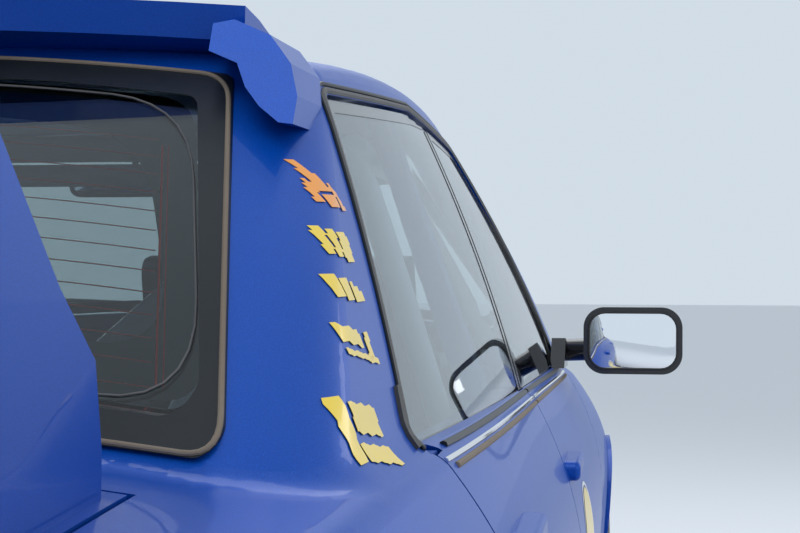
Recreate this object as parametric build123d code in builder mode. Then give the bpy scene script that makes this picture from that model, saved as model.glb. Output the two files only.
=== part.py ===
"""A four-door rally saloon, built as its own panels, glass, cabin pieces and running gear.

Millimetres. +X runs to the nose, +Y to the car's left side, +Z up.
The origin is on the ground, under the middle of the car.
"""
import math
import os

from build123d import *

# Overall sizes and places
LENGTH = 4340
NOSE_X = LENGTH / 2
TAIL_X = -LENGTH / 2
WHEELBASE = 2520
FRONT_AXLE_X = 1330
REAR_AXLE_X = FRONT_AXLE_X - WHEELBASE
WHEEL_Y = 735
TYRE_RADIUS = 306
TYRE_WIDTH = 205
SILL_Z = 195
ROOF_Z = 1405
SHUT_GAP = 5

# Walls, measured inwards from the outer skin
TUB_WALL = 90
CABIN_WALL = 38
PANEL_WALL = 22
GLASS_INSET = 4
GLASS_THICK = 5
SILL_RISE = 0.3
WAIST_SINK = 0.6
CROWN_SINK = 1.1
FULL_SHOULDER = 740

# The lower body, one row for each station along the car
SHOULDER_R = 42
SHOULDER_DROP = 30
TUB_STATIONS = (
    # x, sill half-width, waist half-width, shoulder half-width, shoulder z, crown z, waist z
    (2230, 420, 470, 400, 618, 672, 410),
    (2080, 590, 640, 570, 668, 735, 480),
    (1850, 700, 765, 690, 738, 800, 540),
    (1500, 755, 832, 752, 812, 866, 590),
    (1000, 775, 842, 768, 884, 935, 615),
    (600, 780, 840, 768, 915, 965, 620),
    (0, 780, 840, 766, 932, 985, 620),
    (-600, 780, 842, 764, 949, 998, 620),
    (-1190, 772, 846, 750, 966, 1012, 620),
    (-1650, 745, 825, 728, 962, 1006, 620),
    (-1980, 700, 775, 675, 950, 996, 610),
    (-2230, 600, 680, 570, 935, 985, 600),
)

# The glasshouse, one row for each level
CABIN_FRONT_R = 70
CABIN_LEVELS = (
    # z, screen centre x, front corner x, front half-width, rear glass x, rear corner x,
    # rear half-width, side bulge, rear corner radius
    (880, 1057, 846, 750, -1650, -1611, 720, 20, 120),
    (1130, 635, 492, 670, -1290, -1275, 643, 22, 115),
    (1440, 112, 52, 512, -850, -860, 520, 26, 110),
)
RAKE_SHARE = 1.8
ROOF_ARC_R = 7000
ROOF_PEAK_X = -250
CROWN_R = 6000
CROWN_HALF_ANGLE = 10
CANT_RAIL_R = 38

# Side outlines of the nose and the tail, swung about upright axes
NOSE_PLAN_R = 1750
TAIL_PLAN_R = 2600
NOSE_SET_BACKS = (
    # set-back from the nose, z
    (210, 100), (130, 190), (30, 250), (0, 330), (0, 480), (25, 540), (52, 560), (118, 735), (270, 1200),
)
TAIL_SET_BACKS = (
    # set-back from the tail, z
    (150, 100), (95, 200), (20, 290), (0, 360), (0, 500), (20, 545), (52, 560), (92, 900), (150, 1200),
)
END_ROUND = 16
END_REACH = 500

# Doors and side windows, in side view
BELT_FRONT = (700, 900)
BELT_REAR = (-1165, 955)
DOOR_BOTTOM_Z = 270
DOOR_SPLIT_X = -215
FRONT_DOOR_NOSE_X = 748
REAR_DOOR_TAIL_X = -790
DOOR_INNER_Y = 700
WINDOW_FRONT = (640, 902)
WINDOW_SCREEN_TOP = (135, 1304)
WINDOW_ROOF_MID = (-380, 1332)
WINDOW_REAR_TOP = (-930, 1304)
WINDOW_CORNER_R = 45
POST_MIDDLE_X = -217.5
# Leaves of the door hinges: their front ends along the car
HINGE_XS = (742, -226)
HINGE_LONG = 20
HINGE_Z = 590
HINGE_HIGH = 60
HINGE_GAP = 0.4
POST_WIDTH = 70

# Wheel arches
ARCH_R = 352
ARCH_Z = 310
ARCH_SKIN = 10
FRONT_ARCH_INNER_Y = 440
REAR_ARCH_INNER_Y = 470
LIP_R = 368
LIP_STAND = 9

# Screens, seen from the front
SCREEN_BOTTOM = (655, 962)
SCREEN_TOP = (500, 1316)
SCREEN_CORNER_R = 40
REAR_GLASS_BOTTOM = (592, 1008)
REAR_GLASS_TOP = (478, 1296)
REAR_GLASS_CORNER_R = 22
SCREEN_CROWN = 36
SEAL_WIDTH = 26
SEAL_CORNER_R = 16

# Panels, in plan
BONNET_HALF = 640
BONNET_REAR_X = 890
BONNET_FRONT_X = 2005
COWL_BACK_X = 755
LID_HALF = 575
LID_FRONT_X = -1575
LID_DROP_HALF = 452
LID_BOTTOM_Z = 600
BUMPER_TOP_Z = 556
FRONT_BUMPER_X = 1700
REAR_BUMPER_X = -1560
LAMP_LOW_Z = 566
HEADLAMP_HIGH_Z = 700
HEADLAMP_INNER_Y = 395
TAIL_LAMP_LOW_Z = 690
TAIL_LAMP_HIGH_Z = 880
TAIL_LAMP_INNER_Y = 462
LAMP_LENS_X = 1985
LAMP_LENS_Y = 700
HAUNCH_X = -1172
HAUNCH_R = 70
BELT_INNER_Y = 690
FLANGE_REACH = 38
# Inner face of the door flanges, in end view: y and z
FLANGE_LINE = [(764, 150), (778, 260), (800, 400), (818, 560), (818, 680), (796, 800), (752, 890), (735, 960)]
SIDE_SPLIT_Y = 470
SILL_SPLIT_Y = 560
HINGE_POST_X = 860
SEAM = 3
SEAL_PROUD = 4
# The post between the doors, in end view: y and z
MIDDLE_POST = [(748, 790), (692, 905), (536, 1342), (506, 1336), (658, 888), (716, 780)]
HANDLE_LENGTH = 150
HANDLE_DEPTH = 28
HANDLE_HEIGHT = 30
FRONT_HANDLE = (-120, 818, 800)
REAR_HANDLE = (-960, 810, 838)

# Roof vane: x, and height over the roof's peak
VANE_OUTLINE = [(-790, -25), (-860, -13), (-960, 4), (-1022, 10), (-1014, -26), (-962, -38), (-900, -60),
                (-790, -60)]
VANE_HALF_ANGLE = 4.95
# The fin at each end of the vane, hung down the pillar: x and z in side view, y and z from behind
FIN_SIDE = [(-900, 1386), (-1036, 1386), (-1062, 1340), (-1120, 1258), (-1030, 1250), (-925, 1330)]
FIN_BEHIND = [(490, 1372), (512, 1376), (552, 1358), (578, 1326), (590, 1291), (590, 1262), (575, 1264),
              (553, 1281), (535, 1302), (522, 1328), (490, 1342)]

# Front structure
FRONT_ARCH_ROOM_R = 374
WHEEL_HOUSE_OPEN_Z = 430
WHEEL_HOUSE_LOW_Z = 240
TOWER_HALF = 88
TOWER_DEEP = 210
TOWER_WALL = 12
TOWER_TOP_Z = 785
REAR_TOWER_TOP_Z = 830
FIREWALL_X = 815
FIREWALL_WALL = 16
RAIL_INNER_Y = 330
RAIL_WIDTH = 80
RAIL_LOW_Z = 350
RAIL_HIGH_Z = 430
RADIATOR_X = 1845
RADIATOR_WALL = 40
LAMP_BACK_X = RADIATOR_X + RADIATOR_WALL
RADIATOR_HALF = 420
RADIATOR_LOW_Z = 225
# Towing eyes: centre, ring and hole
FRONT_EYE = (2108, 250, 340)
REAR_EYE = (-1990, 300, 262)
EYE_R = 32
EYE_HOLE_R = 18
EYE_THICK = 14
WING_FOOT_Y = 730
WING_FOOT_Z = 240

# Bonnet scoop, in side view: x and z
SCOOP_HALF = 190
SCOOP_OUTLINE = [(1190, 850), (1190, 925), (1470, 918), (1560, 905), (1585, 850)]
SCOOP_MOUTH = [(1330, 840), (1330, 896), (1600, 890), (1600, 840)]

# Rear wing, in side view: x and z
WING_HALF = 600
WING_TOP_LINE = [(-1880, 1232), (-1930, 1256), (-2010, 1270), (-2120, 1300)]
WING_BELLY = (-2000, 1234)
WING_LEG = [(-1602, 930), (-1598, 1004), (-1610, 1066), (-1675, 1116), (-1770, 1208), (-1872, 1266),
            (-1960, 1300), (-2128, 1318), (-2120, 1220), (-2085, 1120), (-2095, 930)]
WING_LEG_Y = 535
WING_LEG_THICK = 30

# Bumpers and lamps
FOG_BACK_X = 1955
FOG_FACE_X = 2040
FOG_Y = 560
FOG_Z = 320
FOG_WELL_R = 72
INTAKE_OUTLINE = [(-330, 262), (330, 262), (360, 420), (-360, 420)]
GRILLE_HALF = 385
GRILLE_HIGH_Z = 674
GRILLE_BARS = 4
GRILLE_BAR = 9
GRILLE_RIM = 12
TAIL_LAMP_FRONT_X = -1960
# Back of the tail lamps in plan: x and y
TAIL_LENS_BACK = [(-2018, 0), (-2018, 480), (-1982, 660), (-1948, 712), (-1948, 0)]
TAIL_LIP_Z = 300

# Floor, in side view: x and underside z
FLOOR_Z = 196
FLOOR_WALL = 20
REAR_FLOOR_Z = 400
FLOOR_LINE = [(FIREWALL_X, FLOOR_Z), (-840, FLOOR_Z), (-960, REAR_FLOOR_Z), (-1480, REAR_FLOOR_Z),
              (-1560, 300), (-2040, 300)]
TUNNEL_OUTLINE = [(-148, FLOOR_Z), (-120, 345), (120, 345), (148, FLOOR_Z)]
TUNNEL_INNER_SHARE = 0.9
TUNNEL_WALL = 14
SHELF_Z = 912
TAIL_PANEL_X = -2050
TAIL_PANEL_HALF = 462
TAIL_PANEL_TOP_Z = 580
SHELF_WALL = 18
BULKHEAD_X = -1130

# Wheels
RIM_WIDTH = 200
FLANGE_R = 214
BEAD_R = 203
WELL_R = 186
HUB_FACE = 50
HUB_R = 72
DISC_BACK = -22
DISC_R = 147
DISC_THICK = 24
SPOKES = 10
SPOKE_BACK = 38
SPOKE_DEEP = 60
SPOKE_WIDTH = 24
SPOKE_FRONT_OUT = 86
TYRE_BEAD_R = 203.3
TYRE_BEAD_HALF = 92.7
TREAD_WIDTH = 180
SEAT_GAP = 0.3

# Steering and suspension
BALL_JOINT = (1332, 688, 185)
STRUT_TOP = (1308, 545, 790)
STRUT_FOOT = (1318, 590, 430)
STRUT_HEAD = (1309, 548, 765)
BALL_Z = 194
BALL_R = 16
TIE_ROD_END_Y = 550
CARRIER_R = 56
CUP_MOUTH_Y = 636
CUP_DEEP = 68
STEER_ARM_END = (1205, 640, 262)
CALIPER_GAP = 4
CALIPER_WALL = 20
CALIPER_R = 166
CALIPER_HALF = 78
DAMPER_R = 25
SPRING_R = 52
SPRING_FROM = 0.56
SPRING_TO = 0.96
ARM_R = 16
REAR_STRUT_Y = 590

# Engine and exhaust
ENGINE_BACK_X = 1370
ENGINE_FRONT_X = 1790
ENGINE_HALF = 315
ENGINE_LOW_Z = 240
ENGINE_HIGH_Z = 560
PIPE_R = 25
PIPE_Z = 262
PIPE_FRONT_Z = 208
PIPE_LOW_Z = 165
SILENCER_R = 58
SILENCER_Z = 232
EXHAUST_Y = -520
TAIL_PIPE_R = 42
FLAP_LOW_Z = 85
FLAP_THICK = 8
FLAP_WIDTH = 175
FLAP_INNER_Y = 590
FLAP_PLACES = (890, -1550)

# Cabin
DASH_HALF = 590
DASH_OUTLINE = [(812, 640), (560, 560), (520, 700), (500, 820), (560, 885), (745, 878), (745, 765), (812, 755)]
HOOD_OUTLINE = [(700, 860), (510, 840), (500, 905), (560, 930), (700, 905)]
SEAT_Y = 365
SEAT_HALF = 205
SEAT_BASE_HALF = 160
SEAT_WING = 45
SEAT_LOW_Z = 300
SEAT_BASE = (-120, 260)
SEAT_OUTLINE = [(330, 290), (345, 440), (-60, 430), (-110, 900), (-190, 1130), (-265, 1120), (-215, 860),
                (-200, 330), (-120, 285)]
SEAT_ROOM = [(400, 380), (400, 600), (60, 600), (-60, 980), (-120, 1180), (-188, 1160), (-150, 860),
             (-120, 400), (-60, 345)]
CAGE_R = 20
CAGE_HOOP_X = -330
CAGE_FOOT_Y = 640
CAGE_WAIST_Y = 640
CAGE_WAIST_Z = 860
CAGE_TOP_Y = 500
CAGE_TOP_Z = 1288
CAGE_SCREEN_TOP = (130, 488, 1270)
CAGE_DASH = (640, 640, 880)
CAGE_STAY_FOOT = (-1150, 470, 930)
CABIN_MIRROR = (190, 0, 1262)
CABIN_MIRROR_ROOT = (212, 0, 1345)
CABIN_MIRROR_WIDE = 240
STEER_CENTRE = (330, -365, 890)
STEER_AXIS = (0.906, 0, -0.423)
STEER_RIM_R = 175
COLUMN_END = 120
MIRROR_CENTRE = (535, 905, 962)
MIRROR_SIZE = (100, 190, 130)
MIRROR_FOOT_Y = 744


def belt_z(x):
    """Height of the straight belt line under the side glass."""
    rise = (BELT_REAR[1] - BELT_FRONT[1]) / (BELT_REAR[0] - BELT_FRONT[0])
    return BELT_FRONT[1] + (x - BELT_FRONT[0]) * rise


def box_between(low, high):
    """A plain block from its lowest corner to its highest."""
    size = [b - a for a, b in zip(low, high)]
    with BuildPart(Plane(origin=tuple(low))) as block:
        Box(*size, align=(Align.MIN, Align.MIN, Align.MIN))
    return block.part


def side_prism(points, near, far, round_r=0):
    """A side-view outline, given as x and z, carried across the car from one y to another."""
    with BuildPart() as prism:
        with BuildSketch(Plane.XZ.offset(-near)) as outline:
            with BuildLine():
                Polyline(*points, close=True)
            make_face()
            if round_r:
                fillet(outline.vertices(), round_r)
        extrude(amount=-(far - near))
    return prism.part


def end_prism(points, near, far, round_r=0):
    """An end-view outline, given as y and z, carried along the car from one x to another."""
    with BuildPart() as prism:
        with BuildSketch(Plane.YZ.offset(near)) as outline:
            with BuildLine():
                Polyline(*points, close=True)
            make_face()
            if round_r:
                fillet(outline.vertices(), round_r)
        extrude(amount=far - near)
    return prism.part


def joined(*pieces):
    """The pieces fused into one shape."""
    with BuildPart() as whole:
        for piece in pieces:
            add(piece)
    return whole.part


def without(whole, *tools):
    """The shape with each tool cut away."""
    with BuildPart() as rest:
        add(whole)
        add(tools, mode=Mode.SUBTRACT)
    return rest.part


def common(first, second):
    """What two shapes share."""
    with BuildPart() as shared:
        add(first)
        add(second, mode=Mode.INTERSECT)
    return shared.part


def other_side(piece):
    """The same piece on the other side of the car."""
    return mirror(piece, about=Plane.XZ)


# Outer forms

def shoulder_turn(edge_y, edge_z, waist_y, waist_z, crown_z):
    """Lean of the side at its top, and the point where the shoulder arc meets the crown arc."""
    inward, height = waist_y - edge_y, edge_z - waist_z
    side_radius = (height ** 2 + inward ** 2) / (2 * inward)
    lean = math.asin(height / side_radius)
    slope = 0.15
    for _ in range(6):
        reach = SHOULDER_R * math.tan((math.pi / 2 - lean - slope) / 2)
        meet_y = edge_y - reach * (math.sin(lean) + math.cos(slope))
        meet_z = edge_z + reach * (math.cos(lean) + math.sin(slope))
        slope = 2 * math.atan((crown_z - meet_z) / meet_y)
    return lean, (meet_y, meet_z)


def tub(inset):
    """The lower body from nose to tail, drawn in by the inset all round."""
    with BuildPart() as form:
        for x, sill, waist, shoulder, shoulder_z, crown_z, waist_z in TUB_STATIONS:
            draw = inset * min(1, shoulder / FULL_SHOULDER)
            sill_y, waist_y, edge_y = sill - draw, waist - draw, shoulder - draw
            sill_z = SILL_Z + inset * SILL_RISE
            waist_z -= draw * WAIST_SINK
            edge_z = shoulder_z - SHOULDER_DROP - draw
            top_z = crown_z - draw * CROWN_SINK
            lean, meet = shoulder_turn(edge_y, edge_z, waist_y, waist_z, top_z)
            lift, pull = math.cos(lean), math.sin(lean)
            with BuildSketch(Plane.YZ.offset(x)):
                with BuildLine():
                    Line((-sill_y, sill_z), (sill_y, sill_z))
                    TangentArc((waist_y, waist_z), (sill_y, sill_z), tangent=(0, -1))
                    TangentArc((waist_y, waist_z), (edge_y, edge_z), tangent=(0, 1))
                    TangentArc((edge_y, edge_z), meet, tangent=(-pull, lift))
                    ThreePointArc(meet, (0, top_z), (-meet[0], meet[1]))
                    TangentArc((-edge_y, edge_z), (-meet[0], meet[1]), tangent=(pull, lift))
                    TangentArc((-waist_y, waist_z), (-edge_y, edge_z), tangent=(0, 1))
                    TangentArc((-waist_y, waist_z), (-sill_y, sill_z), tangent=(0, -1))
                make_face()
        loft()
        add(end_cutter(NOSE_X - inset, NOSE_SET_BACKS, NOSE_PLAN_R, 1), mode=Mode.SUBTRACT)
        add(end_cutter(TAIL_X + inset, TAIL_SET_BACKS, TAIL_PLAN_R, -1), mode=Mode.SUBTRACT)
    return form.part


def end_cutter(end_x, set_backs, plan_r, way):
    """All that lies beyond the nose or the tail. Way is 1 at the nose and -1 at the tail."""
    face = [(end_x - way * back, z) for back, z in set_backs]
    far = end_x + way * END_REACH
    outline = face + [(far, set_backs[-1][1]), (far, set_backs[0][1])]
    half_angle = math.degrees(math.asin(0.95 * 1000 / plan_r))
    axis = Axis((end_x - way * plan_r, 0, 0), (0, 0, 1))
    with BuildSketch(Plane.XZ) as side:
        with BuildLine():
            Polyline(*outline, close=True)
        make_face()
        fillet([v for v in side.vertices() if abs(v.X - far) > 1 and 150 < v.Y < 800], END_ROUND)
    with BuildPart() as swung:
        revolve(side.sketch.rotate(axis, -half_angle), axis=axis, revolution_arc=2 * half_angle)
    return swung.part


def cabin_loft(inset):
    """The glasshouse without its roof, drawn in by the inset."""
    with BuildPart() as form:
        for z, screen, front, front_y, glass, rear, rear_y, bulge, rear_r in CABIN_LEVELS:
            shift = RAKE_SHARE * inset
            a = (front - shift, front_y - inset)
            b = (rear + shift, rear_y - inset)
            middle = ((a[0] + b[0]) / 2, (a[1] + b[1]) / 2 + bulge)
            with BuildSketch(Plane.XY.offset(z)) as level:
                with BuildLine():
                    ThreePointArc((a[0], -a[1]), (screen - shift, 0), a)
                    ThreePointArc(a, middle, b)
                    ThreePointArc(b, (glass + shift, 0), (b[0], -b[1]))
                    ThreePointArc((b[0], -b[1]), (middle[0], -middle[1]), (a[0], -a[1]))
                make_face()
                fillet(level.vertices().group_by(Axis.X)[-1], CABIN_FRONT_R)
                fillet(level.vertices().group_by(Axis.X)[0], rear_r - inset)
        loft()
    return form.part


def roof_form(inset):
    """Everything under the crowned roof skin."""
    tilt = math.radians(CROWN_HALF_ANGLE)
    axis_z = ROOF_Z - CROWN_R
    leaning = Plane(origin=(0, 0, axis_z), x_dir=(1, 0, 0), z_dir=(0, -math.cos(tilt), -math.sin(tilt)))
    peak = CROWN_R - inset
    front, back, low = 1400, -1900, CROWN_R - 850
    drop = {x: (x - ROOF_PEAK_X) ** 2 / (2 * ROOF_ARC_R) for x in (front, back)}
    with BuildPart() as form:
        with BuildSketch(leaning):
            with BuildLine():
                ThreePointArc((front, peak - drop[front]), (ROOF_PEAK_X, peak), (back, peak - drop[back]))
                Polyline((back, peak - drop[back]), (back, low), (front, low), (front, peak - drop[front]))
            make_face()
        revolve(axis=Axis((0, 0, axis_z), (1, 0, 0)), revolution_arc=-2 * CROWN_HALF_ANGLE)
    return form.part


def cabin(inset):
    """The glasshouse with its roof, its cant rails rounded and its headers crisp."""
    with BuildPart() as form:
        add(cabin_loft(inset))
        add(roof_form(inset), mode=Mode.INTERSECT)
        top = form.faces().sort_by(Axis.Z)[-1]
        rails = [e for e in top.edges() if abs(e.center().Y) > 1]
        fillet(rails, CANT_RAIL_R - inset / 2)
    return form.part


def body(tub_inset, cabin_inset):
    """Lower body and glasshouse as one form."""
    return joined(tub(tub_inset), cabin(cabin_inset))


def haunched(skin):
    """The body skin with the rear pillars' feet flared into the shoulder."""
    front = common(skin, box_between((HAUNCH_X, -1000, 0), (2300, 1000, 1600)))
    with BuildPart() as rear:
        add(common(skin, box_between((-2300, -1000, 0), (HAUNCH_X, 1000, 1600))))
        feet = [e for e in rear.edges()
                if e.bounding_box().min.Z > 945 and e.bounding_box().max.Z < 1030
                and e.bounding_box().min.X > LID_FRONT_X and e.bounding_box().min.X < HAUNCH_X - 1]
        fillet(feet, HAUNCH_R)
    return joined(front, rear.part)


def crown_revolve(points, half_angle):
    """A side outline of x and height over the roof's peak, swept about the roof's crown."""
    tilt = math.radians(half_angle)
    axis_z = ROOF_Z - CROWN_R
    leaning = Plane(origin=(0, 0, axis_z), x_dir=(1, 0, 0), z_dir=(0, -math.cos(tilt), -math.sin(tilt)))
    with BuildPart() as form:
        with BuildSketch(leaning):
            with BuildLine():
                Polyline(*[(x, CROWN_R + rise) for x, rise in points], close=True)
            make_face()
        revolve(axis=Axis((0, 0, axis_z), (1, 0, 0)), revolution_arc=-2 * half_angle)
    return form.part


def tube(points, radius, bend=60):
    """A round bar or pipe along straight runs with rounded corners."""
    with BuildPart() as bar:
        with BuildLine() as path:
            if len(points) == 2:
                Line(*points)
            else:
                FilletPolyline(*points, radius=bend)
        with BuildSketch(Plane(origin=path.line @ 0, z_dir=path.line % 0)):
            Circle(radius)
        sweep(path=path.line)
    return bar.part


TUB_SKIN = tub(0)
CABIN_SKIN = cabin(0)
LIP_SKIN = tub(-LIP_STAND)
BODY_SKIN = haunched(joined(TUB_SKIN, CABIN_SKIN))
SHELF_SPACE = box_between((-1150, -BELT_INNER_Y, 600), (FRONT_DOOR_NOSE_X + SHUT_GAP, BELT_INNER_Y, 900))
HOLLOW = joined(body(TUB_WALL, CABIN_WALL), SHELF_SPACE)
WALL = without(BODY_SKIN, HOLLOW)
TUB_UNDER_PANEL = tub(PANEL_WALL)
PANEL = without(TUB_SKIN, TUB_UNDER_PANEL)
GLASS_BAND = without(cabin(GLASS_INSET), cabin(GLASS_INSET + GLASS_THICK))
SEAL_BAND = without(cabin(-SEAL_PROUD), cabin(GLASS_INSET + GLASS_THICK + SEAL_PROUD))


# Cutters

def arch_space(axle_x, inner_y, radius):
    """The round space of a left wheel arch."""
    with BuildPart(Plane(origin=(axle_x, inner_y, ARCH_Z), z_dir=(0, 1, 0))) as space:
        Cylinder(radius, 1000 - inner_y, align=(Align.CENTER, Align.CENTER, Align.MIN))
    return space.part


def arch_lip(axle_x):
    """A ring round a left wheel arch's opening."""
    return without(arch_space(axle_x, 700, LIP_R), arch_space(axle_x, 690, ARCH_R))


def cowl_zone():
    """The scuttle between the bonnet and the windscreen."""
    return box_between((FRONT_DOOR_NOSE_X + SHUT_GAP, -BONNET_HALF - SHUT_GAP, 700),
                       (BONNET_REAR_X - SHUT_GAP, BONNET_HALF + SHUT_GAP, 1010))


def deck_zone():
    """The deck strip between the rear glass and the boot lid."""
    return box_between((LID_FRONT_X + SHUT_GAP, -LID_HALF - SHUT_GAP, 880), (-1440, LID_HALF + SHUT_GAP, 1100))


def headlamp_zone(grow=0):
    """The left headlamp's space in the nose."""
    return box_between((LAMP_BACK_X - grow, HEADLAMP_INNER_Y, LAMP_LOW_Z - grow),
                       (NOSE_X + 50, 1000, HEADLAMP_HIGH_Z + grow))


def tail_lamp_zone():
    """The left tail lamp's space, wrapped round the corner."""
    return box_between((TAIL_X - 50, TAIL_LAMP_INNER_Y + SEAM, TAIL_LAMP_LOW_Z + SEAM),
                       (TAIL_LAMP_FRONT_X, 1000, TAIL_LAMP_HIGH_Z - SEAM))


def front_door_outline(grow=0, rise=0):
    """Side outline of the front door below its glass. Grow is the gap round it, rise the one at its belt."""
    nose, tail, low = FRONT_DOOR_NOSE_X + grow, DOOR_SPLIT_X - grow, DOOR_BOTTOM_Z - grow
    return [(nose - 60, low), (nose, 430), (nose, 760), (700 + grow, belt_z(700) + rise),
            (tail, belt_z(tail) + rise), (tail, low)]


def rear_door_outline(grow=0, rise=0):
    """Side outline of the rear door below its glass, cut back around the wheel arch."""
    nose, low = DOOR_SPLIT_X - SHUT_GAP + grow, DOOR_BOTTOM_Z - grow
    return [(nose, low), (nose, belt_z(nose) + rise), (BELT_REAR[0] - grow, belt_z(BELT_REAR[0] - grow) + rise),
            (-1128 - grow, 872), (-1046 - grow, 772), (-918 - grow, 640), (-828 - grow, 480),
            (REAR_DOOR_TAIL_X - grow, low)]


def window_outline(grow=0):
    """Side outline of the whole side glass, front and rear together."""
    return [(WINDOW_FRONT[0] + 3 * grow, belt_z(WINDOW_FRONT[0]) - grow),
            (WINDOW_SCREEN_TOP[0], WINDOW_SCREEN_TOP[1] + grow),
            (WINDOW_ROOF_MID[0], WINDOW_ROOF_MID[1] + grow), (WINDOW_REAR_TOP[0] - grow, WINDOW_REAR_TOP[1] + grow),
            (BELT_REAR[0] - 2 * grow, belt_z(BELT_REAR[0]) - grow)]


def window_prism(near, far, grow=0):
    """The side glass outline carried across, its upper rear corner rounded."""
    with BuildPart() as prism:
        with BuildSketch(Plane.XZ.offset(-near)) as outline:
            with BuildLine():
                Polyline(*window_outline(grow), close=True)
            make_face()
            fillet([v for v in outline.vertices() if v.Y > 1250], WINDOW_CORNER_R)
        extrude(amount=-(far - near))
    return prism.part


def screen_prism(bottom, top, corner_r, near, far, grow=0):
    """A screen outline, seen from the front with crowned edges, carried along the car."""
    (low_y, low_z), (high_y, high_z) = bottom, top
    low_y, low_z, high_y, high_z = low_y + grow, low_z - grow, high_y + grow, high_z + grow
    with BuildPart() as prism:
        with BuildSketch(Plane.YZ.offset(near)) as outline:
            with BuildLine():
                ThreePointArc((-low_y, low_z), (0, low_z + SCREEN_CROWN), (low_y, low_z))
                Line((low_y, low_z), (high_y, high_z))
                ThreePointArc((high_y, high_z), (0, high_z + SCREEN_CROWN), (-high_y, high_z))
                Line((-high_y, high_z), (-low_y, low_z))
            make_face()
            fillet(outline.vertices(), corner_r + grow)
        extrude(amount=far - near)
    return prism.part


WINDSCREEN_ZONE = screen_prism(SCREEN_BOTTOM, SCREEN_TOP, SCREEN_CORNER_R, 0, 1300)
REAR_GLASS_ZONE = screen_prism(REAR_GLASS_BOTTOM, REAR_GLASS_TOP, REAR_GLASS_CORNER_R, -1700, -930)
REAR_SEAL_ZONE = screen_prism(
    REAR_GLASS_BOTTOM, REAR_GLASS_TOP, SEAL_CORNER_R - SEAL_WIDTH, -1700, -930, SEAL_WIDTH)


def bonnet_zone(grow=0):
    """Plan outline of the bonnet as a tall block."""
    front, back = BONNET_FRONT_X + grow, BONNET_REAR_X - grow
    with BuildPart() as zone:
        with BuildSketch(Plane.XY.offset(HEADLAMP_HIGH_Z - 20)) as outline:
            with BuildLine():
                Polyline((back, -BONNET_HALF - grow), (front - 120, -BONNET_HALF - grow + 40),
                         (front - 60, -400), (front + 300, -390), (front + 300, 390), (front - 60, 400),
                         (front - 120, BONNET_HALF + grow - 40), (back, BONNET_HALF + grow), close=True)
            make_face()
        extrude(amount=600)
    return zone.part


def lid_zone(grow=0):
    """The boot lid's space: its deck, and its drop between the tail lamps."""
    deck = box_between((TAIL_X - 100, -LID_HALF - grow, TAIL_LAMP_HIGH_Z + SHUT_GAP - grow),
                       (LID_FRONT_X + grow, LID_HALF + grow, 1100))
    drop = box_between((TAIL_X - 100, -LID_DROP_HALF - grow, LID_BOTTOM_Z - grow),
                       (TAIL_X + 400, LID_DROP_HALF + grow, TAIL_LAMP_HIGH_Z + 20))
    return joined(deck, drop)


def export(piece, name):
    """Writes one node."""
    piece.label = name
    export_step(piece, f"parts/{name}.step")


def export_pair(left_piece, name):
    """Writes a left piece and its mirror image as two nodes."""
    export(left_piece, f"{name}_left")
    export(other_side(left_piece), f"{name}_right")


def export_both(left_piece, name):
    """Writes a left piece and its mirror image as one node of two solids."""
    export(Compound(children=[left_piece, other_side(left_piece)]), name)


os.makedirs("parts", exist_ok=True)


# Doors and their glass

def flange_room(step=0):
    """All that lies outside the inner face of the left door flanges."""
    line = [(y - step, z) for y, z in FLANGE_LINE]
    return end_prism(line + [(1000, line[-1][1]), (1000, line[0][1])], -1400, 900)


def door_form(outline, inner_outline, step=0):
    """A thin flange all round and a deep core inside it, before the outer skin trims them."""
    core = side_prism(inner_outline, DOOR_INNER_Y - step, 1000)
    return joined(core, common(side_prism(outline, DOOR_INNER_Y, 1000), flange_room(step)))


def door_panel(outline, inner_outline):
    """One left door below its glass."""
    wheel_room = arch_space(REAR_AXLE_X, REAR_ARCH_INNER_Y, ARCH_R + ARCH_SKIN + SHUT_GAP)
    return without(common(TUB_SKIN, door_form(outline, inner_outline)), wheel_room)


def door_handle(middle_x, middle_y, middle_z):
    """A pull handle standing off the door's skin on its two feet."""
    with BuildPart(Plane(origin=(middle_x, middle_y, middle_z))) as handle:
        Box(HANDLE_LENGTH, HANDLE_DEPTH, HANDLE_HEIGHT)
        fillet(handle.edges().filter_by(Axis.Y), HANDLE_HEIGHT * 0.4)
        fillet(handle.faces().sort_by(Axis.Y)[-1].edges(), HANDLE_DEPTH * 0.3)
    return handle.part


def side_glass(near_x, far_x):
    """The part of the left side glass between two places along the car."""
    pane = common(GLASS_BAND, window_prism(300, 1000))
    return common(pane, box_between((near_x, 300, 800), (far_x, 1000, 1500)))


front_door = joined(door_panel(front_door_outline(), front_door_outline(-FLANGE_REACH, 0)),
                    door_handle(*FRONT_HANDLE))
rear_door = joined(door_panel(rear_door_outline(), rear_door_outline(-FLANGE_REACH, 0)),
                   door_handle(*REAR_HANDLE))
export_pair(front_door, "front_door")
export_pair(rear_door, "rear_door")
export_pair(side_glass(DOOR_SPLIT_X, 700), "front_door_glass")
export_pair(side_glass(-1300, DOOR_SPLIT_X - SHUT_GAP), "rear_door_glass")


# Body sides

def middle_post():
    """The left post between the doors, leaning in behind the glass up to the roof."""
    return end_prism(MIDDLE_POST, POST_MIDDLE_X - POST_WIDTH / 2, POST_MIDDLE_X + POST_WIDTH / 2)


def door_hinge(x):
    """The frame's leaf of one left door hinge, reaching up to the door's flange."""
    flange_y = FLANGE_LINE[3][0]
    return box_between((x - HINGE_LONG, flange_y - 20, HINGE_Z), (x, flange_y - HINGE_GAP, HINGE_Z + HINGE_HIGH))


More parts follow.
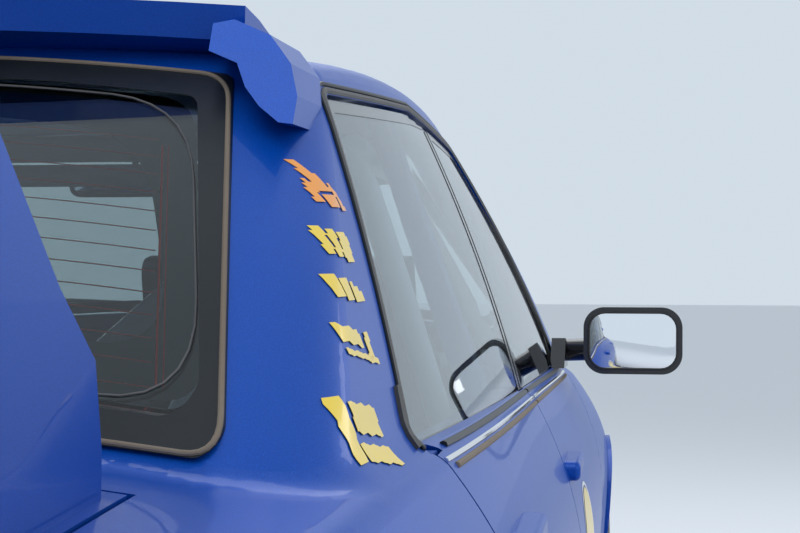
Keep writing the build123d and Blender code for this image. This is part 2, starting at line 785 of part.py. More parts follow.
def side_frame():
    """The left sill, posts, roof rail and rear quarter in one."""
    door_nose = FRONT_DOOR_NOSE_X + SHUT_GAP
    cowl_front = BONNET_REAR_X - SHUT_GAP
    rough = joined(box_between((TAIL_X - 50, SIDE_SPLIT_Y, 300), (door_nose, 1000, 1500)),
                   box_between((TAIL_X - 50, SILL_SPLIT_Y, 100), (door_nose, 1000, 300)))
    openings = [
        door_form(front_door_outline(SHUT_GAP), front_door_outline(SHUT_GAP - FLANGE_REACH, SHUT_GAP), SHUT_GAP),
        door_form(rear_door_outline(SHUT_GAP), rear_door_outline(SHUT_GAP - FLANGE_REACH, SHUT_GAP), SHUT_GAP),
        window_prism(300, 1000, SHUT_GAP),
        REAR_SEAL_ZONE, lid_zone(SHUT_GAP), deck_zone(),
        arch_space(REAR_AXLE_X, REAR_ARCH_INNER_Y, ARCH_R),
        box_between((TAIL_X - 50, 0, 0), (REAR_BUMPER_X, 1000, BUMPER_TOP_Z + SEAM)),
        box_between((TAIL_X - 50, 0, TAIL_LAMP_LOW_Z), (TAIL_LAMP_FRONT_X, 1000, TAIL_LAMP_HIGH_Z)),
        box_between((TAIL_X - 50, 0, 0), (TAIL_LAMP_FRONT_X, TAIL_LAMP_INNER_Y, 1100))]
    main = without(common(BODY_SKIN, without(rough, *openings)), HOLLOW)
    pillar = without(common(CABIN_SKIN, box_between((door_nose, SIDE_SPLIT_Y, 850), (cowl_front, 1000, 1500))),
                     TUB_SKIN, HOLLOW)
    hinge_post = without(common(TUB_UNDER_PANEL, box_between((door_nose, SILL_SPLIT_Y, 200),
                                                             (HINGE_POST_X, 1000, 1000))), HOLLOW)
    frame = without(joined(main, pillar, hinge_post), WINDSCREEN_ZONE, cowl_zone())
    return joined(frame, middle_post(), *[door_hinge(x) for x in HINGE_XS])


export_pair(side_frame(), "side_frame")


# Roof, screens and their seal

def roof_panel():
    """The crowned roof skin between the side frames, with both headers."""
    return without(common(WALL, box_between((-1400, -SIDE_SPLIT_Y, 1200), (500, SIDE_SPLIT_Y, 1500))),
                   WINDSCREEN_ZONE, REAR_SEAL_ZONE)


export(roof_panel(), "roof_panel")
export(common(GLASS_BAND, WINDSCREEN_ZONE), "windscreen")
export(common(GLASS_BAND, REAR_GLASS_ZONE), "rear_window")
export(without(common(SEAL_BAND, REAR_SEAL_ZONE), REAR_GLASS_ZONE), "rear_window_seal")


def roof_vane():
    """The lip across the roof's rear edge, with a fin at each end."""
    fin = common(side_prism(FIN_SIDE, 480, 600), end_prism(FIN_BEHIND, FIN_SIDE[3][0] - 10, FIN_SIDE[0][0] + 10))
    vane = crown_revolve(VANE_OUTLINE, VANE_HALF_ANGLE)
    return without(joined(vane, fin, other_side(fin)), CABIN_SKIN)


export(roof_vane(), "roof_vane")


# Front structure

def strut_tower(axle_x, inner_y, high_z):
    """The left tower that a strut stands in, as its outside and its inside."""
    low = (axle_x - 20 - TOWER_HALF, inner_y, ARCH_Z + 200)
    high = (axle_x - 20 + TOWER_HALF, inner_y + TOWER_DEEP, high_z)
    inside = box_between((low[0] + TOWER_WALL, low[1] + TOWER_WALL, low[2] - 10),
                         (high[0] - TOWER_WALL, high[1] - TOWER_WALL, high[2] - TOWER_WALL))
    return box_between(low, high), inside


def wheel_house(axle_x, inner_y, radius, limit, high_z):
    """The left wheel arch's inner shell with its strut tower, open below."""
    tower, tower_space = strut_tower(axle_x, inner_y - ARCH_SKIN, high_z)
    outside = joined(arch_space(axle_x, inner_y - ARCH_SKIN, radius + ARCH_SKIN), tower)
    drive_room = box_between((axle_x - 600, inner_y - 2 * ARCH_SKIN, 0), (axle_x + 600, inner_y, WHEEL_HOUSE_OPEN_Z))
    skirt = box_between((axle_x - 600, 0, 0), (axle_x + 600, 1000, WHEEL_HOUSE_LOW_Z))
    return without(common(limit, outside), arch_space(axle_x, inner_y, radius), tower_space, drive_room, skirt)


def tunnel_space():
    """The space under the floor's tunnel."""
    return end_prism([(y * TUNNEL_INNER_SHARE, z - TUNNEL_WALL) for y, z in TUNNEL_OUTLINE],
                     FLOOR_LINE[1][0] - 60, FIREWALL_X + 100)


def tow_eye(middle, bar, axis):
    """A flat towing eye with its bar, the hole along an axis."""
    with BuildPart(Plane(origin=middle, z_dir=axis)) as ring:
        Cylinder(EYE_R, EYE_THICK)
    with BuildPart(Plane(origin=middle, z_dir=axis)) as hole:
        Cylinder(EYE_HOLE_R, 2 * EYE_THICK)
    return without(joined(ring.part, bar), hole.part)


def front_tow_eye():
    """The flat towing eye on its bar, reaching out through the bumper's intake."""
    x, y, z = FRONT_EYE
    bar = box_between((RADIATOR_X + 5, y - 15, z - EYE_THICK / 2), (x - EYE_R + 8, y + 15, z + EYE_THICK / 2))
    return tow_eye(FRONT_EYE, bar, (0, 0, 1))


def front_structure():
    """Scuttle, firewall, chassis rails, wheel houses and the radiator frame."""
    cowl = without(common(BODY_SKIN, cowl_zone()), HOLLOW, WINDSCREEN_ZONE)
    firewall = common(HOLLOW, box_between((FIREWALL_X, -1000, 200), (FIREWALL_X + FIREWALL_WALL, 1000, 878)))
    house = wheel_house(FRONT_AXLE_X, FRONT_ARCH_INNER_Y, FRONT_ARCH_ROOM_R, TUB_UNDER_PANEL, TOWER_TOP_Z)
    rail = box_between((FIREWALL_X, RAIL_INNER_Y, RAIL_LOW_Z), (RADIATOR_X, RAIL_INNER_Y + RAIL_WIDTH, RAIL_HIGH_Z))
    top_rail = box_between((FRONT_AXLE_X, FRONT_ARCH_INNER_Y - 45, 640), (RADIATOR_X, FRONT_ARCH_INNER_Y - 5, 690))
    tie = box_between((FRONT_AXLE_X - 60, RAIL_INNER_Y + RAIL_WIDTH, RAIL_HIGH_Z - 30),
                      (FRONT_AXLE_X + 60, FRONT_ARCH_INNER_Y - ARCH_SKIN, RAIL_HIGH_Z + 60))
    frame = box_between((RADIATOR_X, -RADIATOR_HALF, RADIATOR_LOW_Z), (RADIATOR_X + RADIATOR_WALL, RADIATOR_HALF, 690))
    core_room = box_between((RADIATOR_X + 14, 50 - RADIATOR_HALF, 300), (NOSE_X, RADIATOR_HALF - 50, 640))
    left = joined(house, rail, top_rail, tie)
    return joined(cowl, without(firewall, tunnel_space()), left, other_side(left), without(frame, core_room),
                  front_tow_eye())


export(front_structure(), "front_structure")


def front_wing():
    """The left front wing with its arch lip."""
    plate = common(PANEL, box_between((FRONT_DOOR_NOSE_X + SHUT_GAP, 380, 100), (NOSE_X, 1000, 1000)))
    lip = without(common(LIP_SKIN, arch_lip(FRONT_AXLE_X)), TUB_UNDER_PANEL)
    plate = without(joined(plate, lip), bonnet_zone(SHUT_GAP), cowl_zone(), headlamp_zone(SEAM),
                    arch_space(FRONT_AXLE_X, 300, ARCH_R),
                    box_between((0, 0, 0), (NOSE_X, WING_FOOT_Y, WING_FOOT_Z)),
                    box_between((FRONT_BUMPER_X - SEAM, 0, 0), (NOSE_X + 50, 1000, BUMPER_TOP_Z + SEAM)),
                    box_between((BONNET_FRONT_X - 70, 0, 0), (NOSE_X + 50, HEADLAMP_INNER_Y, 1000)))
    return plate


export_both(front_wing(), "front_wings")


# Bonnet and boot lid

def scoop():
    """The air scoop on the bonnet, open to the front."""
    block = side_prism(SCOOP_OUTLINE, -SCOOP_HALF, SCOOP_HALF)
    mouth = side_prism(SCOOP_MOUTH, -SCOOP_HALF + 14, SCOOP_HALF - 14)
    return without(block, mouth, TUB_UNDER_PANEL)


def bonnet():
    """The bonnet skin with its scoop."""
    return joined(common(PANEL, bonnet_zone()), scoop())


def boot_lid():
    """The boot lid's deck and drop."""
    return common(PANEL, lid_zone())


export(bonnet(), "bonnet")
export(boot_lid(), "boot_lid")


def rear_wing():
    """The tall wing on the boot lid: one blade between two end legs."""
    with BuildPart() as blade:
        with BuildSketch(Plane.XZ.offset(-WING_HALF)):
            with BuildLine():
                Spline(*WING_TOP_LINE)
                ThreePointArc(WING_TOP_LINE[-1], WING_BELLY, WING_TOP_LINE[0])
            make_face()
        extrude(amount=2 * WING_HALF)
    leg = side_prism(WING_LEG, WING_LEG_Y, WING_LEG_Y + WING_LEG_THICK)
    leg = without(leg, TUB_SKIN)
    return joined(blade.part, leg, other_side(leg))


export(rear_wing(), "rear_wing")


# Bumpers, grille and lamps

def round_well(x, far_x):
    """A round block along X at the left front lamp well."""
    with BuildPart(Plane(origin=(x, FOG_Y, FOG_Z), z_dir=(1, 0, 0))) as well:
        Cylinder(FOG_WELL_R, far_x - x, align=(Align.CENTER, Align.CENTER, Align.MIN))
    return well.part


def front_bumper():
    """The front bumper's shell with its middle intake, lamp wells and carriers."""
    shell = common(PANEL, box_between((FRONT_BUMPER_X, -1000, 0), (NOSE_X + 50, 1000, BUMPER_TOP_Z)))
    carrier = box_between((RADIATOR_X + RADIATOR_WALL, 340, 440), (2115, 390, 480))
    arch = arch_space(FRONT_AXLE_X, 300, ARCH_R)
    well = round_well(1800, NOSE_X + 50)
    intake = end_prism(INTAKE_OUTLINE, 1900, NOSE_X + 50, 24)
    return joined(without(shell, arch, other_side(arch), well, other_side(well), intake),
                  carrier, other_side(carrier))


def rear_bumper():
    """The rear bumper's shell, rising to the tail, with its carriers."""
    shell = common(PANEL, box_between((TAIL_X - 50, -1000, 0), (REAR_BUMPER_X, 1000, BUMPER_TOP_Z)))
    carrier = box_between((TAIL_X + 35, 300, 420), (TAIL_PANEL_X, 350, 470))
    arch = arch_space(REAR_AXLE_X, REAR_ARCH_INNER_Y, ARCH_R)
    under = side_prism([(REAR_BUMPER_X + 1, 100), (REAR_BUMPER_X + 1, SILL_Z + 12), (TAIL_X - 50, TAIL_LIP_Z),
                        (TAIL_X - 50, 100)], -1000, 1000)
    pipe_room = box_between((TAIL_X - 50, EXHAUST_Y - 65, 0), (TAIL_X + 200, EXHAUST_Y + 65, 330))
    return joined(without(shell, arch, other_side(arch), under, pipe_room), carrier, other_side(carrier))


export(front_bumper(), "front_bumper")
export(rear_bumper(), "rear_bumper")


def grille():
    """The upper grille between the headlamps: a frame with level bars."""
    plate = common(PANEL, box_between((1890, -GRILLE_HALF, LAMP_LOW_Z), (NOSE_X + 50, GRILLE_HALF, GRILLE_HIGH_Z)))
    gaps = []
    step = (GRILLE_HIGH_Z - LAMP_LOW_Z - GRILLE_RIM) / GRILLE_BARS
    for row in range(GRILLE_BARS):
        low = LAMP_LOW_Z + GRILLE_RIM + row * step
        gaps.append(box_between((1880, -GRILLE_HALF + GRILLE_RIM, low),
                                (NOSE_X + 50, GRILLE_HALF - GRILLE_RIM, low + step - GRILLE_BAR)))
    lug = box_between((RADIATOR_X + RADIATOR_WALL, GRILLE_HALF - 14, 600), (2050, GRILLE_HALF, 640))
    return joined(without(plate, *gaps), lug, other_side(lug))


def headlamp():
    """The left headlamp, its lens following the nose."""
    back = box_between((LAMP_BACK_X + 15, HEADLAMP_INNER_Y + 15, 0), (LAMP_LENS_X, LAMP_LENS_Y, 1000))
    return without(common(TUB_SKIN, headlamp_zone()), back, bonnet_zone(SHUT_GAP))


def tail_lamp():
    """The left tail lamp, wrapped round the corner."""
    with BuildPart() as back:
        with BuildSketch():
            with BuildLine():
                Polyline(*TAIL_LENS_BACK, close=True)
            make_face()
        extrude(amount=1000)
    return without(common(TUB_SKIN, tail_lamp_zone()), back.part)


export(grille(), "grille")
export_both(headlamp(), "headlamps")
export_both(round_well(FOG_BACK_X, FOG_FACE_X), "fog_lamps")
export_both(tail_lamp(), "tail_lamps")


# Floor and rear structure

def rear_tow_eye():
    """The upright towing eye under the boot floor."""
    x, y, z = REAR_EYE
    plate = box_between((x - EYE_R, y - EYE_THICK / 2, z), (x + EYE_R, y + EYE_THICK / 2, FLOOR_LINE[-1][1] + 5))
    return tow_eye(REAR_EYE, plate, (0, 1, 0))


def floor_pan():
    """The floor with its tunnel, kicked up over the rear axle, and the tail panel."""
    pan = side_prism(FLOOR_LINE + [(x, z + FLOOR_WALL) for x, z in reversed(FLOOR_LINE)],
                     -SILL_SPLIT_Y, SILL_SPLIT_Y)
    tunnel = end_prism(TUNNEL_OUTLINE, FLOOR_LINE[1][0], FIREWALL_X)
    tail = box_between((TAIL_PANEL_X, -TAIL_PANEL_HALF, FLOOR_LINE[-1][1]),
                       (TAIL_PANEL_X + 14, TAIL_PANEL_HALF, TAIL_PANEL_TOP_Z))
    arch = arch_space(REAR_AXLE_X, REAR_ARCH_INNER_Y - ARCH_SKIN, ARCH_R + ARCH_SKIN)
    return joined(without(joined(pan, tunnel, tail), tunnel_space(), arch, other_side(arch)), rear_tow_eye())


export(floor_pan(), "floor_pan")


def rear_structure():
    """Rear shelf, seat bulkhead, deck strip and wheel houses."""
    shelf = common(HOLLOW, box_between((LID_FRONT_X + 5, -1000, SHELF_Z), (-1060, 1000, SHELF_Z + SHELF_WALL)))
    bulkhead = common(HOLLOW, box_between((BULKHEAD_X, -1000, REAR_FLOOR_Z + FLOOR_WALL),
                                          (BULKHEAD_X + 14, 1000, SHELF_Z + 5)))
    deck = without(common(BODY_SKIN, deck_zone()), HOLLOW, REAR_SEAL_ZONE)
    house = wheel_house(REAR_AXLE_X, REAR_ARCH_INNER_Y, ARCH_R, HOLLOW, REAR_TOWER_TOP_Z)
    arch = arch_space(REAR_AXLE_X, REAR_ARCH_INNER_Y, ARCH_R)
    tower_space = strut_tower(REAR_AXLE_X, REAR_ARCH_INNER_Y - ARCH_SKIN, REAR_TOWER_TOP_Z)[1]
    bulkhead = without(bulkhead, arch, other_side(arch), tower_space, other_side(tower_space))
    return joined(shelf, bulkhead, deck, house, other_side(house))


export(rear_structure(), "rear_structure")


# Wheels

def hub_plane(axle_x):
    """Plane of a left wheel's section: x is outwards along the axle and y is radius."""
    return Plane(origin=(axle_x, WHEEL_Y, TYRE_RADIUS), x_dir=(0, 1, 0), z_dir=(1, 0, 0))


def turned(points, axle_x):
    """A section of axial place and radius, turned about a left wheel's axle."""
    with BuildPart() as round_piece:
        with BuildSketch(hub_plane(axle_x)):
            with BuildLine():
                Polyline(*points, close=True)
            make_face()
        revolve(axis=Axis((axle_x, WHEEL_Y, TYRE_RADIUS), (0, 1, 0)))
    return round_piece.part


def rim(axle_x):
    """One left rim with its spokes and hub, and the brake disc behind it."""
    half = RIM_WIDTH / 2
    barrel = turned([(half, FLANGE_R), (half - 6, FLANGE_R), (half - 7, BEAD_R), (half - 30, BEAD_R),
                     (half - 40, WELL_R), (-half + 50, WELL_R), (-half + 35, BEAD_R), (-half + 7, BEAD_R),
                     (-half + 6, FLANGE_R), (-half, FLANGE_R), (-half, FLANGE_R - 12), (-half + 38, BEAD_R - 9),
                     (-half + 54, WELL_R - 8), (half - 44, WELL_R - 8), (half - 34, BEAD_R - 9), (half, FLANGE_R - 10)],
                    axle_x)
    hub = turned([(HUB_FACE, 0), (HUB_FACE, HUB_R), (HUB_FACE + 14, HUB_R), (HUB_FACE + 30, HUB_R - 18),
                  (HUB_FACE + 30, 0)], axle_x)
    disc = turned([(DISC_BACK, CARRIER_R + 6), (DISC_BACK, DISC_R), (DISC_BACK + DISC_THICK, DISC_R),
                   (DISC_BACK + DISC_THICK, HUB_R), (HUB_FACE, HUB_R), (HUB_FACE, 0), (DISC_BACK + 8, 0),
                   (DISC_BACK + 8, CARRIER_R + 6)], axle_x)
    spoke_length = WELL_R - HUB_R + 20
    with BuildPart() as spokes:
        with BuildSketch(Plane(origin=(axle_x, WHEEL_Y + SPOKE_BACK, TYRE_RADIUS), z_dir=(0, 1, 0))):
            with PolarLocations((WELL_R + HUB_R) / 2 - 8, SPOKES):
                Trapezoid(spoke_length, SPOKE_WIDTH, 87)
        extrude(amount=SPOKE_DEEP)
    bowl = turned([(SPOKE_BACK + SPOKE_DEEP + 1, 0), (HUB_FACE + 30, 0), (HUB_FACE + 30, HUB_R - 18),
                   (SPOKE_FRONT_OUT, WELL_R + 6), (SPOKE_BACK - 1, WELL_R + 6), (SPOKE_BACK - 1, 0)], axle_x)
    return joined(barrel, hub, disc, common(spokes.part, bowl))


def tyre(axle_x):
    """One left tyre: a hollow ring open to the rim, with a rounded shoulder."""
    bead, half = TYRE_BEAD_HALF, TYRE_WIDTH / 2
    tread = TREAD_WIDTH / 2
    with BuildPart() as ring:
        with BuildSketch(hub_plane(axle_x)):
            with BuildLine():
                Line((-bead, TYRE_BEAD_R), (-bead, TYRE_BEAD_R + 10))
                ThreePointArc((-bead, TYRE_BEAD_R + 10), (-half, 250), (-tread, TYRE_RADIUS - 5))
                ThreePointArc((-tread, TYRE_RADIUS - 5), (0, TYRE_RADIUS), (tread, TYRE_RADIUS - 5))
                ThreePointArc((tread, TYRE_RADIUS - 5), (half, 250), (bead, TYRE_BEAD_R + 10))
                Polyline((bead, TYRE_BEAD_R + 10), (bead, TYRE_BEAD_R), (bead - 16, TYRE_BEAD_R),
                         (bead - 14, TYRE_BEAD_R + 20))
                ThreePointArc((bead - 14, TYRE_BEAD_R + 20), (half - 10, 252), (tread - 8, TYRE_RADIUS - 18))
                Line((tread - 8, TYRE_RADIUS - 18), (-tread + 8, TYRE_RADIUS - 18))
                ThreePointArc((-tread + 8, TYRE_RADIUS - 18), (-half + 10, 252), (-bead + 14, TYRE_BEAD_R + 20))
                Polyline((-bead + 14, TYRE_BEAD_R + 20), (-bead + 16, TYRE_BEAD_R), (-bead, TYRE_BEAD_R))
            make_face()
        revolve(axis=Axis((axle_x, WHEEL_Y, TYRE_RADIUS), (0, 1, 0)))
    return ring.part


for axle_x, place in ((FRONT_AXLE_X, "front"), (REAR_AXLE_X, "rear")):
    export_pair(rim(axle_x), f"rim_{place}")
    export_pair(tyre(axle_x), f"tyre_{place}")


# Knuckles and suspension

def kingpin(z):
    """Point of the left steering axis at a height."""
    share = (z - BALL_JOINT[2]) / (STRUT_TOP[2] - BALL_JOINT[2])
    return tuple(a + (b - a) * share for a, b in zip(BALL_JOINT, STRUT_TOP))


def rod_between(low, high, radius):
    """A straight round rod between two points."""
    return tube([low, high], radius)


def axle_drum(axle_x, radius, near_y, far_y):
    """A round block about a left wheel's axle."""
    with BuildPart(Plane(origin=(axle_x, near_y, TYRE_RADIUS), z_dir=(0, 1, 0))) as drum:
        Cylinder(radius, far_y - near_y, align=(Align.CENTER, Align.CENTER, Align.MIN))
    return drum.part


def upright(axle_x):
    """The left hub carrier, up to the brake disc's hub."""
    return axle_drum(axle_x, CARRIER_R, CUP_MOUTH_Y, WHEEL_Y + DISC_BACK + 8 - SEAT_GAP)


def caliper(axle_x):
    """The left brake caliper, straddling the disc behind the axle."""
    span = DISC_THICK + 2 * CALIPER_GAP
    block = turned([(DISC_BACK - CALIPER_WALL, 88), (DISC_BACK - CALIPER_WALL, CALIPER_R),
                    (DISC_BACK + DISC_THICK + CALIPER_WALL, CALIPER_R), (DISC_BACK + DISC_THICK + CALIPER_WALL, 88)],
                   axle_x)
    slot = turned([(DISC_BACK - CALIPER_GAP, 0), (DISC_BACK - CALIPER_GAP, DISC_R + CALIPER_GAP),
                   (DISC_BACK - CALIPER_GAP + span, DISC_R + CALIPER_GAP), (DISC_BACK - CALIPER_GAP + span, 0)],
                  axle_x)
    window = box_between((axle_x - 220, WHEEL_Y - 120, TYRE_RADIUS - CALIPER_HALF),
                         (axle_x - 60, WHEEL_Y + 60, TYRE_RADIUS + CALIPER_HALF))
    return without(common(block, window), slot)


def strut(low, high):
    """The left damper with its spring, from the carrier's clamp to the tower."""
    along = [b - a for a, b in zip(low, high)]
    spring_low = tuple(a + d * SPRING_FROM for a, d in zip(low, along))
    spring_high = tuple(a + d * SPRING_TO for a, d in zip(low, along))
    return joined(rod_between(low, high, DAMPER_R), rod_between(spring_low, spring_high, SPRING_R))


def knuckle():
    """The left steered knuckle with its strut, steering arm and caliper."""
    carrier = upright(FRONT_AXLE_X)
    cup = axle_drum(FRONT_AXLE_X, CARRIER_R - 8, CUP_MOUTH_Y, CUP_MOUTH_Y + CUP_DEEP)
    with BuildPart(Plane(origin=kingpin(BALL_Z))) as ball:
        Sphere(BALL_R)
    leg = box_between((FRONT_AXLE_X - 26, BALL_JOINT[1] - 20, BALL_JOINT[2] + 8),
                      (FRONT_AXLE_X + 26, BALL_JOINT[1] + 12, TYRE_RADIUS - CARRIER_R + 10))
    arm = tube([(FRONT_AXLE_X - 20, BALL_JOINT[1] - 5, TYRE_RADIUS - 50), STEER_ARM_END], 11)
    clamp = tube([(FRONT_AXLE_X - 6, CUP_MOUTH_Y + 26, TYRE_RADIUS + CARRIER_R - 8), STRUT_FOOT], 24)
    bridge = box_between((FRONT_AXLE_X - 158, WHEEL_Y + DISC_BACK - CALIPER_WALL - 18, TYRE_RADIUS - 45),
                         (FRONT_AXLE_X - CARRIER_R + 12, WHEEL_Y + DISC_BACK - CALIPER_WALL + 6, TYRE_RADIUS + 45))
    whole = joined(carrier, ball.part, leg, arm, clamp, bridge, caliper(FRONT_AXLE_X), strut(STRUT_FOOT, STRUT_HEAD))
    return without(whole, cup)


export_pair(knuckle(), "knuckle")


def front_suspension():
    """Crossmember, lower arms, rack, anti-roll bar and half shafts."""
    beam = box_between((FRONT_AXLE_X - 60, -RAIL_INNER_Y - RAIL_WIDTH, 178),
                       (FRONT_AXLE_X + 90, RAIL_INNER_Y + RAIL_WIDTH, 222))
    engine_mount = box_between((ENGINE_BACK_X + 5, 200, 210), (FRONT_AXLE_X + 85, 260, ENGINE_LOW_Z))
    rack_mount = box_between((STEER_ARM_END[0] - 15, 270, 205), (FRONT_AXLE_X - 50, 310, 250))
    leg = box_between((FRONT_AXLE_X - 78, RAIL_INNER_Y + 15, 178), (FRONT_AXLE_X - 42, RAIL_INNER_Y + 65, RAIL_LOW_Z))
    arm_end = (BALL_JOINT[0], BALL_JOINT[1] + 12, BALL_Z - BALL_R - ARM_R - 1.5)
    arm = joined(rod_between((FRONT_AXLE_X, 300, 190), arm_end, ARM_R),
                 rod_between((FRONT_AXLE_X - 330, RAIL_INNER_Y + 40, 205),
                             (FRONT_AXLE_X, (300 + arm_end[1]) / 2, (190 + arm_end[2]) / 2), ARM_R))
    rod = rod_between((STEER_ARM_END[0], 250, STEER_ARM_END[2]),
                      (STEER_ARM_END[0], TIE_ROD_END_Y, STEER_ARM_END[2]), 8)
    rack = rod_between((STEER_ARM_END[0], -330, STEER_ARM_END[2]), (STEER_ARM_END[0], 330, STEER_ARM_END[2]), 22)
    pad = box_between((FRONT_AXLE_X - 345, RAIL_INNER_Y + 15, 190), (FRONT_AXLE_X - 305, RAIL_INNER_Y + 65, RAIL_LOW_Z))
    shaft = rod_between((FRONT_AXLE_X, 85.4, TYRE_RADIUS - 10), (FRONT_AXLE_X, CUP_MOUTH_Y + 24, TYRE_RADIUS), 13)
    gaiter = rod_between((FRONT_AXLE_X, 190, TYRE_RADIUS - 9), (FRONT_AXLE_X, 270, TYRE_RADIUS - 7), 34)
    with BuildPart(Plane(origin=(FRONT_AXLE_X, CUP_MOUTH_Y + 24, TYRE_RADIUS))) as joint:
        Sphere(CARRIER_R - 18)
    left = joined(arm, rod, pad, leg, engine_mount, rack_mount)
    drive = joined(shaft, gaiter, joint.part)
    return Compound(children=[joined(beam, left, other_side(left), rack), drive, other_side(drive)])


export(front_suspension(), "front_suspension")


def rear_suspension():
    """Subframe, final drive, links, carriers and struts."""
    beam = box_between((REAR_AXLE_X - 90, -360, 330), (REAR_AXLE_X - 30, 360, REAR_FLOOR_Z))
    diff = box_between((REAR_AXLE_X - 110, -95, 225), (REAR_AXLE_X + 130, 95, REAR_FLOOR_Z - 40))
    carrier = upright(REAR_AXLE_X)
    shaft = rod_between((REAR_AXLE_X, 80, TYRE_RADIUS - 6), (REAR_AXLE_X, CUP_MOUTH_Y + 5, TYRE_RADIUS), 13)
    link = rod_between((REAR_AXLE_X - 60, 330, 235), (REAR_AXLE_X - 40, CUP_MOUTH_Y + 20, TYRE_RADIUS - 50), 12)
    hanger = box_between((REAR_AXLE_X - 78, 300, 215), (REAR_AXLE_X - 42, 340, 340))
    trailing = rod_between((-812, 500, 176), (REAR_AXLE_X + 20, CUP_MOUTH_Y + 15, TYRE_RADIUS - 45), 12)
    bracket = box_between((-830, 485, 162), (-795, 515, FLOOR_Z))
    foot = (REAR_AXLE_X - 4, REAR_STRUT_Y, TYRE_RADIUS + 120)
    clamp = tube([(REAR_AXLE_X, CUP_MOUTH_Y + 20, TYRE_RADIUS + 30), foot], 22)
    head = (REAR_AXLE_X - 20, REAR_STRUT_Y - 25, REAR_TOWER_TOP_Z - TOWER_WALL + 3)
    above = box_between((REAR_AXLE_X - 100, 400, REAR_TOWER_TOP_Z - TOWER_WALL),
                        (REAR_AXLE_X + 100, 800, REAR_TOWER_TOP_Z + 50))
    left = joined(carrier, shaft, link, hanger, trailing, clamp, caliper(REAR_AXLE_X), strut(foot, head),
                  box_between((REAR_AXLE_X - 158, WHEEL_Y + DISC_BACK - CALIPER_WALL - 18, TYRE_RADIUS - 45),
                              (REAR_AXLE_X - CARRIER_R + 12, WHEEL_Y + DISC_BACK - CALIPER_WALL + 6,
                               TYRE_RADIUS + 45)))
    left = without(left, above)
    return joined(beam, diff, left, other_side(left), bracket, other_side(bracket))


export(rear_suspension(), "rear_suspension")


# Engine and exhaust

def engine():
    """The engine and gearbox as plain blocks at their real places."""
    block = box_between((ENGINE_BACK_X, -ENGINE_HALF, ENGINE_LOW_Z), (ENGINE_FRONT_X, ENGINE_HALF, ENGINE_HIGH_Z))
    gearbox = box_between((ENGINE_BACK_X - 480, -85, 292), (ENGINE_BACK_X, 85, 440))
    return joined(block, gearbox)


export(engine(), "engine")


def exhaust():
    """The pipe down the tunnel with its silencer and tail pipe."""
    pipe = tube([(1225, -60, PIPE_FRONT_Z), (900, -60, PIPE_FRONT_Z), (760, -40, PIPE_Z), (-640, -40, PIPE_Z),
                 (-790, -120, PIPE_LOW_Z), (-1560, -150, PIPE_LOW_Z), (-1700, -300, SILENCER_Z)], PIPE_R, 60)
    silencer = tube([(-1690, EXHAUST_Y + 120, SILENCER_Z), (-2030, EXHAUST_Y + 20, SILENCER_Z)], SILENCER_R)
    tail = tube([(-1980, EXHAUST_Y, SILENCER_Z), (TAIL_X + 12, EXHAUST_Y, SILENCER_Z)], TAIL_PIPE_R)
    link = tube([(-1680, -290, SILENCER_Z - 10), (-1760, EXHAUST_Y + 140, SILENCER_Z)], PIPE_R)
    hanger = box_between((-1885, EXHAUST_Y + 55, SILENCER_Z + 40), (-1855, EXHAUST_Y + 79, FLOOR_LINE[-1][1]))
    return joined(pipe, silencer, tail, link, hanger)


export(exhaust(), "exhaust")


# Mud flaps

def mud_flap(x, inner_y):
    """A flat left flap hanging behind a wheel."""
    return box_between((x, inner_y, FLAP_LOW_Z), (x + FLAP_THICK, inner_y + FLAP_WIDTH, SILL_Z))


flaps = [mud_flap(x, FLAP_INNER_Y) for x in FLAP_PLACES]
export(Compound(children=flaps + [other_side(flap) for flap in flaps]), "mud_flaps")


# Cabin

def column_point(reach):
    """Point on the steering column at a distance ahead of the steering wheel."""
    return tuple(c + a * reach for c, a in zip(STEER_CENTRE, STEER_AXIS))


def dashboard():
    """The dashboard from side to side, with its instrument hood."""
    shelf = side_prism(DASH_OUTLINE, -DASH_HALF, DASH_HALF, 12)
    hood = side_prism(HOOD_OUTLINE, STEER_CENTRE[1] - 170, STEER_CENTRE[1] + 170, 10)
    shroud = rod_between(column_point(COLUMN_END), column_point(COLUMN_END + 80), 32)
    return joined(shelf, hood, shroud)


export(dashboard(), "dashboard")


def seat():
    """The left bucket seat: a shell with raised sides, open to the front."""
    outer = side_prism(SEAT_OUTLINE, SEAT_Y - SEAT_HALF, SEAT_Y + SEAT_HALF, 25)
    room = side_prism(SEAT_ROOM, SEAT_Y - SEAT_HALF + SEAT_WING, SEAT_Y + SEAT_HALF - SEAT_WING, 20)
    base = box_between((SEAT_BASE[0], SEAT_Y - SEAT_BASE_HALF, FLOOR_Z + FLOOR_WALL),
                       (SEAT_BASE[1], SEAT_Y + SEAT_BASE_HALF, SEAT_LOW_Z + 20))
    return joined(without(outer, room), base)


export_both(seat(), "front_seats")


